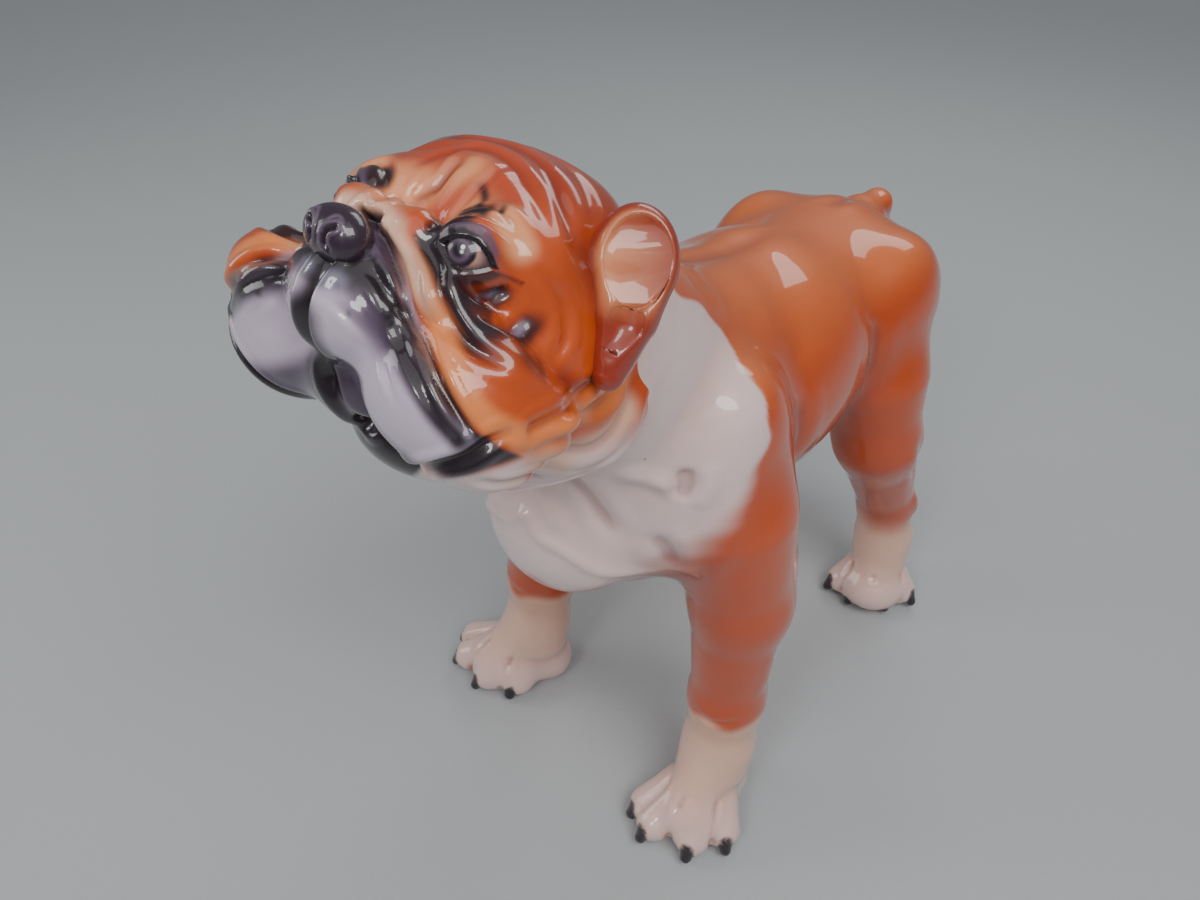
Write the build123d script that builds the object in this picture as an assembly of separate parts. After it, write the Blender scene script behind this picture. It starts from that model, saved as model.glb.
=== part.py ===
from build123d import *
import copy
import math
import os

os.makedirs("parts", exist_ok=True)

# Every size is in millimetres. While drawing, x runs to the dog's left, y from its chest to its rump and
# z up from the ground. At the end the whole dog moves so that its box stands centred on the origin.

# The cast body.
wall = 5.0                 # thickness of the shell
body_front = -27.0         # y of the chest front
body_length = 379.0        # chest front to rump
body_height = 298.0        # ground to the centre line of the trunk
chest_width = 172.0
chest_depth = 166.0
tail_length = 26.0
vent_radius = 4.0          # air holes between the hollow pieces
belly_hole_radius = 7.0    # drain hole for the slip

# The neck and the head.
neck_width = 146.0
neck_reach = 98.0          # how far the neck leans forward
neck_rise = 126.0          # how far it climbs
neck_opening = 30.0        # radius of the opening through the neck joint
head_width = 136.0
head_height = 122.0
head_length = 162.0        # back of the skull to the front of the muzzle
nose_radius = 16.0
eye_radius = 11.5
ear_height = 78.0
ear_reach = 34.0           # how far an ear stands out from its root
ear_wall = 4.0

# The legs.
leg_width = 60.0           # across the forearm
thigh_width = 84.0
front_stance = 85.0        # x of the front wrists
rear_stance = 80.0         # x of the hocks
paw_width = 66.0
paw_length = 56.0
front_paw_reach = 56.0     # wrist to the middle toes
rear_paw_reach = 34.0      # hock to the middle toes
toe_radius = 13.0
claw_radius = 5.0
claw_length = 14.0
left_front_turn = 4.0      # how far each paw turns out, in degrees
right_front_turn = 24.0
rear_turn = 24.0

# Where the closed outlines start, in degrees, away from where the forms cross each other.
seam_angle = 40.0

# Places that several pieces share.
neck_base = Vector(0, body_front + 0.235 * body_length, body_height)
neck_path = Vector(0, -neck_reach, neck_rise)
neck_joint = Plane(origin=neck_base + neck_path * 0.73, z_dir=(0, -0.6, 0.8))
head_back = neck_base.Y - neck_reach + 0.37 * head_length
head_middle = neck_base.Z + neck_rise + 0.16 * head_height
front_leg_y = body_front + 0.21 * body_length
rear_leg_y = body_front + 0.765 * body_length
hock_y = body_front + 0.885 * body_length


def section(centre, along, half_width, half_depth, across):
    """A closed oval wire round centre, square to the direction along."""
    plane = Plane(origin=centre, x_dir=across, z_dir=along)
    points = []
    for step in range(12):
        turn = math.radians(seam_angle + 30 * step)
        spot = Vector(half_width * math.cos(turn), half_depth * math.sin(turn), 0)
        points.append(plane.from_local_coords(spot))
    return Wire([Edge.make_spline(points, periodic=True)])


def skin(stations, inset=0.0, across=(1, 0, 0)):
    """A smooth solid through stations of (centre, half width, half depth), each square to their path."""
    wires = []
    for index, (centre, half_width, half_depth) in enumerate(stations):
        before = stations[max(index - 1, 0)][0]
        after = stations[min(index + 1, len(stations) - 1)][0]
        wires.append(section(centre, after - before, half_width - inset, half_depth - inset, across))
    return Solid.make_loft(wires)


def ball(centre, radius):
    """A sphere at centre."""
    return Pos(centre) * Sphere(radius)


def rod(start, end, radius):
    """A round rod from start to end."""
    return Solid.make_cylinder(radius, (end - start).length, Plane(origin=start, z_dir=end - start))


# The trunk and neck.

def trunk(inset=0.0):
    """The trunk: a barrel with a round chest and a round rump, drawn in by inset for the hollow."""
    stations = []
    for along, wide, deep, above in [
        (0.10, 0.74, 0.76, -0.03),
        (0.16, 0.92, 0.94, -0.02),
        (0.22, 0.99, 0.99, -0.01),
        (0.31, 1.00, 1.00, 0.00),
        (0.44, 0.95, 0.95, 0.01),
        (0.57, 0.88, 0.88, 0.02),
        (0.70, 0.86, 0.84, 0.03),
        (0.80, 0.84, 0.79, 0.03),
        (0.90, 0.70, 0.68, 0.02),
    ]:
        centre = Vector(0, body_front + along * body_length, body_height + above * chest_depth)
        stations.append((centre, wide * chest_width / 2, deep * chest_depth / 2))
    chest_radius = 0.42 * chest_width
    rump_radius = 0.36 * chest_width
    chest = Vector(0, body_front + chest_radius, body_height - 0.03 * chest_depth)
    rump = Vector(0, body_front + body_length - rump_radius, body_height + 0.02 * chest_depth)
    return skin(stations, inset) + ball(chest, chest_radius - inset) + ball(rump, rump_radius - inset)


def neck():
    """The neck, from inside the shoulders to inside the skull."""
    stations = []
    for along, wide, deep in [(0.0, 1.0, 0.95), (0.34, 1.0, 1.0), (0.70, 0.93, 0.92), (1.0, 0.84, 0.76)]:
        stations.append((neck_base + neck_path * along, wide * neck_width / 2, deep * neck_width / 2))
    return skin(stations)


def neck_channel():
    """The round opening that joins the hollow of the trunk to that of the head."""
    middle = neck_joint.origin
    return rod(middle - neck_joint.z_dir * 40, middle + neck_joint.z_dir * 40, neck_opening)


def torso_form():
    """The trunk and neck before they are hollowed, up to the flat neck joint."""
    return split(trunk() + neck(), bisect_by=neck_joint, keep=Keep.BOTTOM)


def torso(form):
    """The hollow trunk, open at the neck, with a drain hole and an air hole into each leg."""
    shell = copy.deepcopy(form) - trunk(wall) - neck_channel()
    belly = Vector(0, body_front + 0.57 * body_length, body_height)
    shell -= rod(belly, belly - Vector(0, 0, chest_depth), belly_hole_radius)
    for side in (1, -1):
        for stations in (front_leg_stations(side), rear_leg_stations(side)):
            outlet = stations[2][0]
            shell -= rod(Vector(0, outlet.Y, body_height), outlet, vent_radius)
    return shell


def tail(form):
    """The short tail, luted on to the top of the rump."""
    root = Vector(0, body_front + 0.94 * body_length, body_height + 0.25 * chest_depth)
    stations = []
    for along, drop, thick in [(-0.8, -0.1, 0.50), (0.1, 0.0, 0.50), (0.7, 0.25, 0.42), (1.0, 0.60, 0.18)]:
        centre = root + Vector(0, along * tail_length, -drop * tail_length)
        stations.append((centre, thick * tail_length, thick * tail_length))
    return skin(stations) - copy.deepcopy(form)


# The head.

def face(across, forward, above):
    """A place on the head, as shares of its width, length and height."""
    return Vector(across * head_width, head_back - forward * head_length, head_middle + above * head_height)


def skull(inset=0.0):
    """The long form of the skull and muzzle, drawn in by inset for the hollow."""
    stations = []
    for forward, wide, high, above in [
        (0.10, 0.62, 0.66, 0.00),
        (0.20, 0.84, 0.92, 0.01),
        (0.31, 0.93, 0.99, 0.01),
        (0.43, 0.97, 1.02, 0.00),
        (0.61, 0.97, 0.92, -0.05),
        (0.73, 1.00, 0.85, -0.09),
        (0.85, 0.92, 0.74, -0.07),
    ]:
        stations.append((face(0, forward, above), wide * head_width / 2, high * head_height / 2))
    return skin(stations, inset)


def head_form():
    """The head before it is hollowed: skull, jaw, cheeks, flews, brows and eye rims, on the top of the neck."""
    form = skull() + neck() + ball(face(0, 0.63, -0.30), 0.29 * head_width)
    form += ball(face(0, 0.30, 0.0), 0.357 * head_width) + ball(face(0, 0.72, -0.06), 0.32 * head_width)
    for side in (1, -1):
        for across, forward, above, size in [
            (0.29, 0.49, -0.13, 0.27),
            (0.27, 0.80, -0.05, 0.25),
            (0.34, 0.79, -0.25, 0.20),
            (0.22, 0.58, 0.22, 0.18),
            (0.28, 0.70, 0.24, 0.16),
        ]:
            form += ball(face(side * across, forward, above), size * head_width)
    return split(form, bisect_by=neck_joint, keep=Keep.TOP)


def eye_place(side):
    """The middle of the eye on one side."""
    return face(side * 0.30, 0.745, 0.36)


def nose_place():
    """The middle of the nose pad."""
    return face(0, 0.865, 0.36)


def head(form):
    """The hollow head, with a socket for each eye and a seat for the nose."""
    shell = copy.deepcopy(form) - skull(2 * wall) - neck_channel() - ball(nose_place(), nose_radius)
    for side in (1, -1):
        shell -= ball(eye_place(side), eye_radius)
    return shell


def nose():
    """The nose pad, a flattened ball of clay pressed into its seat, with a dimple for each nostril."""
    pad = ball(nose_place(), nose_radius)
    for side in (1, -1):
        pad -= ball(nose_place() + Vector(side * 0.42, -0.75, 0.52) * nose_radius, 0.22 * nose_radius)
    return pad


def eye(side):
    """An eyeball, set in its socket."""
    return ball(eye_place(side), eye_radius)


def ear(form, side):
    """A cupped ear that opens outward and forward, luted to the side of the skull."""
    root = face(side * 0.34, 0.40, 0.07)
    lean = Vector(side * 0.86, -0.30, 0.40) * ear_reach
    outside = []
    inside = []
    for along, high, deep in [(0.0, 0.34, 0.12), (0.4, 0.42, 0.18), (0.75, 0.48, 0.23), (1.0, 0.50, 0.25)]:
        outside.append((root + lean * along, high * ear_height, deep * ear_height))
        inside.append((root + lean * (0.55 + 0.5 * along), high * ear_height, deep * ear_height))
    cup = skin(outside, across=(0, 0, 1)) - skin(inside, ear_wall, across=(0, 0, 1))
    return cup - copy.deepcopy(form)


# The legs.

def front_leg_stations(side):
    """The front leg from inside the shoulder down to the pastern."""
    stations = []
    for out, back, height, wide, deep in [
        (-0.62, -0.09, 1.16, 0.70, 0.85),
        (-0.28, -0.09, 1.05, 1.13, 1.33),
        (-0.15, -0.05, 0.93, 1.20, 1.40),
        (-0.05, 0.03, 0.81, 1.17, 1.27),
        (0.02, 0.08, 0.67, 1.03, 1.10),
        (0.00, 0.08, 0.50, 0.93, 1.00),
        (0.00, 0.02, 0.37, 0.84, 0.90),
        (0.02, -0.03, 0.26, 0.86, 0.92),
        (0.05, -0.12, 0.17, 0.92, 1.02),
        (0.06, -0.16, 0.05, 0.76, 0.84),
    ]:
        centre = Vector(side * (front_stance + out * leg_width), front_leg_y + back * leg_width, height * body_height)
        stations.append((centre, wide * leg_width / 2, deep * leg_width / 2))
    return stations


def rear_leg_stations(side):
    """The rear leg from inside the haunch, back to the hock and down to the pastern."""
    stations = []
    for out, back, height, wide, deep in [
        (-0.54, 0.0, 1.13, 0.68, 0.90),
        (-0.38, 0.0, 1.02, 0.95, 1.22),
        (-0.31, 0.0, 0.89, 0.95, 1.18),
        (-0.19, 0.0, 0.755, 0.81, 1.00),
        (-0.09, 0.17, 0.64, 0.69, 0.81),
        (-0.03, 0.63, 0.50, 0.57, 0.64),
        (-0.01, 0.93, 0.37, 0.52, 0.55),
        (0.01, 1.02, 0.26, 0.53, 0.54),
        (0.04, 1.02, 0.17, 0.58, 0.62),
        (0.05, 0.98, 0.05, 0.50, 0.54),
    ]:
        y = rear_leg_y + back * (hock_y - rear_leg_y)
        centre = Vector(side * (rear_stance + out * thigh_width), y, height * body_height)
        stations.append((centre, wide * thigh_width / 2, deep * thigh_width / 2))
    return stations


def paw(ankle, side, reach, turn):
    """A paw with four toes and claws, turned out from straight ahead, standing at the foot of ankle."""
    angle = math.radians(turn)
    ahead = Vector(side * math.sin(angle), -math.cos(angle), 0)
    out = Vector(side * math.cos(angle), math.sin(angle), 0)
    heel = Vector(ankle.X, ankle.Y, 0)
    stations = []
    for forward, wide, height, deep in [
        (-0.46, 0.30, 0.18, 0.14),
        (-0.34, 0.66, 0.22, 0.25),
        (0.00, 0.84, 0.25, 0.36),
        (0.50, 1.00, 0.25, 0.31),
        (0.85, 0.84, 0.18, 0.19),
    ]:
        centre = heel + ahead * (reach - (0.85 - forward) * paw_length) + Vector(0, 0, height * paw_width)
        stations.append((centre, wide * paw_width / 2, deep * paw_width))
    form = skin(stations, across=out)
    for aside, forward in [(-0.36, -0.18), (-0.13, 0.02), (0.13, 0.02), (0.36, -0.18)]:
        toe = heel + ahead * (reach + forward * paw_width) + out * aside * paw_width + Vector(0, 0, toe_radius)
        point = (ahead + out * aside * 1.2).normalized()
        claw = Plane(origin=toe + point * 0.7 * toe_radius - Vector(0, 0, 2), z_dir=point - Vector(0, 0, 0.2))
        form += ball(toe, toe_radius)
        form += Solid.make_cone(claw_radius, 0.3 * claw_radius, claw_length, claw)
    return form


def leg(form, stations, side, reach, turn):
    """A hollow leg with its paw, cut to sit against the trunk and flat on the ground."""
    limb = skin(stations) + paw(stations[-2][0], side, reach, turn)
    limb -= Pos(0, 0, -chest_depth) * Box(6 * chest_width, 6 * body_length, 2 * chest_depth)
    limb -= skin(stations[1:7], wall)
    return limb - copy.deepcopy(form)


# The whole dog.

trunk_form = torso_form()
skull_form = head_form()
pieces = {
    "torso": torso(trunk_form),
    "tail": tail(trunk_form),
    "head": head(skull_form),
    "nose": nose(),
    "left_eye": eye(1),
    "right_eye": eye(-1),
    "left_ear": ear(skull_form, 1),
    "right_ear": ear(skull_form, -1),
    "front_left_leg": leg(trunk_form, front_leg_stations(1), 1, front_paw_reach, left_front_turn),
    "front_right_leg": leg(trunk_form, front_leg_stations(-1), -1, front_paw_reach, right_front_turn),
    "rear_left_leg": leg(trunk_form, rear_leg_stations(1), 1, rear_paw_reach, rear_turn),
    "rear_right_leg": leg(trunk_form, rear_leg_stations(-1), -1, rear_paw_reach, rear_turn),
}

whole = Compound(children=[Compound(children=list(piece.solids())) for piece in pieces.values()])
box = whole.bounding_box()
home = Vector(-box.center().X, -box.center().Y, -box.min.Z)
for name, piece in pieces.items():
    export_step(Pos(home) * piece, "parts/" + name + ".step")
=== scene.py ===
import math

import bmesh
import bpy
import numpy as np
from mathutils import Matrix, Vector


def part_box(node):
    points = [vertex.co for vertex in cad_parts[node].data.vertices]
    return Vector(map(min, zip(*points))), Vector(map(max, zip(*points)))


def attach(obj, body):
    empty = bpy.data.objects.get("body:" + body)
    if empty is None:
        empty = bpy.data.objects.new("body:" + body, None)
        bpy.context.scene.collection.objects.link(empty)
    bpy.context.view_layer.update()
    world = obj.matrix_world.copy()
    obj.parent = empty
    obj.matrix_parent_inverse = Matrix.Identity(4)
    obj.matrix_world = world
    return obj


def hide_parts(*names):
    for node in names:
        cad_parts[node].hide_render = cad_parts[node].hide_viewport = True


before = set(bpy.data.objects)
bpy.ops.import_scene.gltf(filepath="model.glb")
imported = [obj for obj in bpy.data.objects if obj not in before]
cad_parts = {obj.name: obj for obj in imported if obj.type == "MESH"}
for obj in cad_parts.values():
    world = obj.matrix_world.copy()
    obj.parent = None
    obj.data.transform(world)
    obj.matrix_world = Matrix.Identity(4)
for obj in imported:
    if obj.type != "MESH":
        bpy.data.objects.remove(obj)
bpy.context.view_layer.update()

bl_info = {
    "name": "Ceramic Dog",
    "version": (1, 0, 0),
    "blender": (4, 5, 0),
    "location": "View3D > Sidebar > Ceramic Dog",
    "description": "Sculpts and glazes a hollow cast ceramic dog",
    "category": "Object",
}

# Places are in millimetres in the dog's own frame: x runs to its left from the middle plane, y from its
# front toes to its rump, and z up from the ground. HOME carries that frame to the model's, in metres, by
# the CAD eyes: their middles lie at CAD_EYE_Y. The painted eyes are set where the sculpted lids are.
CAD_EYE_Y = -96.7
EYE_RADIUS = 11.5


def middle(node):
    """The middle of a CAD node's box."""
    low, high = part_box(node)
    return (low + high) / 2


LEFT_EYE_AT = middle("left_eye")
RIGHT_EYE_AT = middle("right_eye")
HOME = np.array([(LEFT_EYE_AT.x + RIGHT_EYE_AT.x) / 2, LEFT_EYE_AT.y - CAD_EYE_Y / 1000, 0.0])


def metres(points):
    """Places in the dog's frame as places in the model."""
    return np.asarray(points, float) / 1000 + HOME


# Limits and spacings, in millimetres.
NO_INK = 8.0            # how far from black a place is taken to be when nothing black is near it
LEG_CLEARANCE = 4.0     # how near a leg comes to the middle plane
MOST_SHARE = 40.0       # how far inside a leg its share stops growing
NOSE_GRAIN = 0.7        # the spacing of the nose's mesh


# The clay forms. Every form is a signed distance in millimetres: less than nothing inside the clay.

def turned(points, centre, tilt, swing, roll):
    """Points seen from centre, with a swing about z, a roll about y and a tilt about x taken out."""
    p = points - np.array(centre, float)
    for angle, a, b in ((swing, 0, 1), (roll, 2, 0), (tilt, 1, 2)):
        if angle:
            c = math.cos(math.radians(angle))
            s = math.sin(math.radians(angle))
            first = c * p[:, a] + s * p[:, b]
            second = c * p[:, b] - s * p[:, a]
            p[:, a] = first
            p[:, b] = second
    return p


def egg(points, centre, radii, tilt=0.0, swing=0.0, roll=0.0):
    """Signed distance, near enough, to an ellipsoid."""
    p = turned(points, centre, tilt, swing, roll)
    r = np.array(radii, float)
    near = np.linalg.norm(p / r, axis=1)
    steep = np.linalg.norm(p / (r * r), axis=1)
    return near * (near - 1.0) / np.maximum(steep, 1e-6)


def leaf(points, centre, axes, radii):
    """An ellipsoid whose three axes are given, for lids and ears."""
    p = (points - np.array(centre, float)) @ np.array(axes, float).T
    return egg(p, (0, 0, 0), radii)


def sausage(points, start, end, start_radius, end_radius):
    """Signed distance to a tapered rod with round ends."""
    a = np.array(start, float)
    along = np.array(end, float) - a
    p = points - a
    t = np.clip(p @ along / max(along @ along, 1e-9), 0.0, 1.0)
    radius = start_radius + (end_radius - start_radius) * t
    return np.linalg.norm(p - t[:, None] * along, axis=1) - radius


def blended(first, second, reach):
    """The smooth union of two signed distances, filleted over reach."""
    h = np.clip(0.5 + 0.5 * (second - first) / reach, 0.0, 1.0)
    return second + (first - second) * h - reach * h * (1.0 - h)


def carved(first, second, reach):
    """The first form with the second taken out of it."""
    return -blended(-first, second, reach)


def both(place, side):
    """A place on the dog's left (side 1) or right (side -1)."""
    return (side * place[0], place[1], place[2])


def united(points, lumps):
    """The smooth union of a list of lumps: (form, its sizes, how far it blends)."""
    total = None
    for form, sizes, reach in lumps:
        distance = form(points, **sizes)
        total = distance if total is None else blended(total, distance, reach)
    return total


def unit(vector):
    """A vector of length one."""
    v = np.array(vector, float)
    return v / np.linalg.norm(v)


def trunk_lumps():
    """Barrel, chest, hips and neck."""
    return [
        (egg, dict(centre=(0, 150, 297), radii=(81, 128, 80)), 20),
        (egg, dict(centre=(0, 50, 297), radii=(85, 80, 84), tilt=-15), 25),
        (egg, dict(centre=(0, 262, 303), radii=(68, 82, 60)), 25),
        (sausage, dict(start=(0, 58, 322), end=(0, -8, 392), start_radius=74, end_radius=62), 25),
        (egg, dict(centre=(0, 95, 345), radii=(50, 60, 38)), 20),
        (egg, dict(centre=(0, -18, 268), radii=(40, 26, 34)), 25),
        (egg, dict(centre=(0, 34, 238), radii=(40, 36, 18)), 20),
    ]


def tail_lumps():
    """The stub of a tail, with a kink in it."""
    return [
        (sausage, dict(start=(0, 322, 338), end=(2, 342, 338), start_radius=13, end_radius=11), 10),
        (sausage, dict(start=(2, 342, 338), end=(6, 350, 322), start_radius=10, end_radius=6), 5),
    ]


def front_leg_lumps(side):
    """Shoulder, upper arm, forearm and wrist."""
    arm = both((74, 50, 280), side)
    elbow = both((83, 58, 205), side)
    wrist = both((85, 55, 112), side)
    ankle = both((87, 48, 48), side)
    return [
        (egg, dict(centre=both((60, 46, 312), side), radii=(34, 44, 62), roll=side * 14), 22),
        (sausage, dict(start=arm, end=elbow, start_radius=37, end_radius=31), 22),
        (sausage, dict(start=elbow, end=wrist, start_radius=31, end_radius=24), 10),
        (sausage, dict(start=wrist, end=ankle, start_radius=24, end_radius=25), 12),
        (egg, dict(centre=both((82, 76, 232), side), radii=(20, 20, 30)), 14),
    ]


def rear_leg_lumps(side):
    """Haunch, stifle, shank, hock and pastern."""
    thigh = both((58, 262, 250), side)
    stifle = both((70, 268, 195), side)
    hock = both((78, 306, 108), side)
    ankle = both((84, 310, 48), side)
    return [
        (egg, dict(centre=both((46, 268, 290), side), radii=(38, 56, 64), tilt=-8, roll=side * 10), 22),
        (sausage, dict(start=thigh, end=stifle, start_radius=40, end_radius=30), 20),
        (sausage, dict(start=stifle, end=hock, start_radius=31, end_radius=22), 14),
        (sausage, dict(start=hock, end=ankle, start_radius=22, end_radius=23), 10),
        (egg, dict(centre=both((78, 320, 106), side), radii=(13, 12, 20)), 8),
    ]


# Where each leg stands and where its four claws touch the ground, from the inner one to the outer one.
LEGS = {
    "front_left_leg": (1, front_leg_lumps, (87, 48), [(56, -8), (72, -18), (105, -9), (123, 13)]),
    "front_right_leg": (-1, front_leg_lumps, (-87, 48), [(-83, 8), (-111, -3), (-141, 4), (-153, 24)]),
    "rear_left_leg": (1, rear_leg_lumps, (84, 312), [(57, 278), (80, 274), (108, 287), (123, 309)]),
    "rear_right_leg": (-1, rear_leg_lumps, (-84, 312), [(-57, 278), (-80, 274), (-108, 287), (-123, 309)]),
}


def toes(heel, claws):
    """Each toe's knuckle, its tip, and the point of its claw."""
    for claw in claws:
        away = np.array(claw, float) - np.array(heel, float)
        length = np.linalg.norm(away)
        away = away / length
        knuckle = np.array(heel, float) + away * (length * 0.45)
        tip = np.array(heel, float) + away * (length - 12.0)
        yield (*knuckle, 28.0), (*tip, 14.5), (*(tip + away * 12.0), 9.0)


def paw_lumps(heel, claws):
    """The pad of a paw and its four toes."""
    heel_at = np.array(heel, float)
    ahead = (np.array(claws[1], float) + np.array(claws[2], float)) / 2 - heel_at
    heading = math.degrees(math.atan2(ahead[1], ahead[0])) + 90
    palm = heel_at + ahead * 0.34
    back = heel_at - ahead * 0.12
    arch = heel_at + ahead * 0.55
    lumps = [
        (egg, dict(centre=(*palm, 20), radii=(29, 34, 22), swing=heading), 10),
        (egg, dict(centre=(*back, 18), radii=(22, 20, 22), swing=heading), 8),
        (sausage, dict(start=(*heel, 66), end=(*arch, 26), start_radius=21, end_radius=15), 12),
    ]
    for knuckle, tip, _ in toes(heel, claws):
        lumps.append((sausage, dict(start=knuckle, end=tip, start_radius=12.0, end_radius=12.5), 4.5))
    return lumps


def claw_lumps(heel, claws):
    """The four claws of a paw."""
    lumps = []
    for _, tip, point in toes(heel, claws):
        root = np.array(tip) * 0.42 + np.array(point) * 0.58 + np.array((0, 0, 4.5))
        end = np.array(point) - np.array((0, 0, 1.5))
        claw = dict(start=tuple(root), end=tuple(end), start_radius=5.8, end_radius=4.4)
        lumps.append((sausage, claw, 1.2))
    return lumps


def leg_lumps(name):
    """A whole leg, down to its claws."""
    side, limb, heel, claws = LEGS[name]
    return limb(side) + paw_lumps(heel, claws) + claw_lumps(heel, claws)


# The head.

def skull_lumps():
    """Skull, brows, eye rims, cheeks and the folds over the neck."""
    lumps = [
        (egg, dict(centre=(0, -44, 440), radii=(58, 48, 50)), 18),
        (egg, dict(centre=(0, -10, 420), radii=(54, 36, 40)), 22),
        (egg, dict(centre=(0, -40, 462), radii=(30, 34, 31)), 14),
    ]
    for side in (1, -1):
        inward = 0 if side > 0 else 6
        rim = both((31 - inward, -78 + 1.8 * inward, 471), side)
        lumps += [
            (egg, dict(centre=both((25, -42, 458), side), radii=(31, 38, 33)), 12),
            (egg, dict(centre=both((34, -68, 469), side), radii=(24, 20, 20), swing=side * 12), 9),
            (egg, dict(centre=rim, radii=(20, 17, 20), swing=side * 20), 7),
            (egg, dict(centre=both((46, -66, 428), side), radii=(23, 36, 36)), 16),
            (egg, dict(centre=both((42, -46, 388), side), radii=(26, 38, 24)), 16),
        ]
    return lumps


def muzzle_lumps():
    """Flews, bridge, lower jaw and dewlap, and the fold that runs over the bridge and down each cheek."""
    lumps = [
        (egg, dict(centre=(0, -106, 460), radii=(36, 30, 26)), 10),
        (egg, dict(centre=(0, -78, 393), radii=(46, 42, 25)), 8),
        (egg, dict(centre=(0, -56, 374), radii=(48, 40, 28)), 14),
        (sausage, dict(start=(-16, -96, 485), end=(16, -96, 485), start_radius=8.5, end_radius=8.5), 5),
        (egg, dict(centre=(-14, -113, 425), radii=(20, 18, 24)), 8),
        (egg, dict(centre=(-50, -113, 452), radii=(26, 20, 19)), 8),
    ]
    for side in (1, -1):
        drop = 0 if side > 0 else 8
        out = 0 if side > 0 else 10
        tuck = 0 if side > 0 else 1
        flew = both((38 + out, -107, 436 - drop), side)
        lip = both((50 + out, -102, 424 - drop), side)
        over = both((16, -96, 485), side)
        bend = both((37 - 5 * tuck, -104 + 8 * tuck, 472 - 2 * tuck), side)
        cheek = both((60 - 9 * tuck, -102 + 16 * tuck, 450 - 4 * tuck), side)
        jowl = both((67 - 6 * tuck, -90 + 10 * tuck, 424), side)
        lumps += [
            (egg, dict(centre=flew, radii=(36, 30, 31)), 7),
            (egg, dict(centre=lip, radii=(26, 28, 28), roll=side * -12), 10),
            (sausage, dict(start=over, end=bend, start_radius=8.5, end_radius=8), 4),
            (sausage, dict(start=bend, end=cheek, start_radius=8, end_radius=10), 4),
            (sausage, dict(start=cheek, end=jowl, start_radius=10, end_radius=13), 5),
        ]
    return lumps


# The middle of each painted eye. The head was cast with its right side a little further back.
EYES = {1: (35, -88, 480), -1: (-29, -79, 477)}
LID_ACROSS = unit((0.869, 0.375, -0.324))
LID_OPENS = unit((0.64, -0.64, 0.42))


def lid_axes(side):
    """The eye's own axes: along the lids, up from them, and out of the head."""
    flip = np.array((side, 1, 1), float)
    along = LID_ACROSS * flip
    out = LID_OPENS * flip
    out = unit(out - along * (out @ along))
    up = np.cross(out, along) * side
    return [along, up, out]


def head_field(points):
    """The head: skull and muzzle, with a lidded socket for each eye."""
    total = united(points, skull_lumps() + muzzle_lumps())
    for side, centre in EYES.items():
        lids = np.linalg.norm(points - np.array(centre, float), axis=1) - 13.6
        total = blended(total, lids, 3.5)
    return total


def lid_edge(along, up):
    """How far up or down a place is from the edge of the opening between the lids, in millimetres."""
    arch = np.clip(1 - (along / 10.2) ** 2, -0.6, 1)
    return np.abs(up) - np.where(up > 0, 6.0, 5.2) * arch


def opened_lids(points):
    """Sink the skin inside each lid opening behind the eyeball."""
    for side, centre in EYES.items():
        middle_place = np.array(centre, float)
        axes = np.array(lid_axes(side))
        p = (points - middle_place) @ axes.T
        size = np.linalg.norm(p, axis=1)
        close = (size < 22) & (p[:, 2] > 0)
        open_share = 1 - eased(-0.5, 0.5, lid_edge(p[close, 0], p[close, 1]))
        sunk = size[close] + (9.2 - size[close]) * open_share
        p[close] *= (sunk / size[close])[:, None]
        points[close] = middle_place + p[close] @ axes
    return points


def trunk_field(points):
    """The trunk."""
    return united(points, trunk_lumps())


def dog_field(points):
    """The whole dog, blended together and standing flat on the ground."""
    x, y, z = points.T
    total = trunk_field(points)
    for name, (side, limb, heel, claws) in LEGS.items():
        near = (np.abs(y - heel[1]) < 130) & (z < 400) & (side * x > -30)
        if near.any():
            total[near] = blended(total[near], united(points[near], leg_lumps(name)), 20)
    near = (y > 280) & (z > 250)
    if near.any():
        total[near] = blended(total[near], united(points[near], tail_lumps()), 10)
    near = (y < 80) & (z > 320)
    if near.any():
        total[near] = blended(total[near], head_field(points[near]), 9)
    return np.maximum(total, -z)


def ear_axes(side):
    """An ear's own axes: across it, up it, and out of its cup."""
    flip = np.array((side, 1, 1), float)
    across = unit((0.80, 0.60, 0.0)) * flip
    up = unit((-0.30, 0.40, 0.87)) * flip
    up = unit(up - across * (up @ across))
    out = unit((0.50, -0.60, 0.62)) * flip
    out = unit(out - across * (out @ across) - up * (out @ up))
    return [across, up, out]


def ear_bowl(side):
    """The middle of an ear's bowl. The right ear hangs a little lower."""
    return np.array((67, -36, 468) if side > 0 else (-65, -34, 452), float)


def ear_field(side):
    """A cupped ear: a broad bowl on top and a lobe that hangs from it, hollowed towards the front."""
    across, up, out = ear_axes(side)
    bowl = ear_bowl(side)
    lobe = bowl - up * 24 - across * 3
    foot = bowl - up * 43 - across * 9
    roots = bowl - across * 10 - out * 6

    def field(points):
        total = leaf(points, bowl, (across, up, out), (16.5, 21, 12))
        total = blended(total, sausage(points, lobe, foot, 11, 6.5), 12)
        total = blended(total, sausage(points, roots, roots - up * 34, 10, 8), 8)
        cup = leaf(points, bowl + out * 12.5 + across * 1.5, (across, up, out), (13, 17.5, 15))
        groove = sausage(points, lobe + out * 13, foot + out * 12 + up * 8, 8, 4)
        return carved(total, blended(cup, groove, 6), 3)

    return field


def nose_field(points):
    """The nose pad, a little fuller over each nostril."""
    total = egg(points, (-2, -114, 486), (13, 9, 10.5), tilt=-14)
    for side in (1, -1):
        total = blended(total, egg(points, (6 * side - 2, -117.5, 487), (6, 5, 6.5)), 8)
    return total


# Working the clay: meshes drawn over the forms, lines pressed into them, and colour sprayed on.

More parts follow.
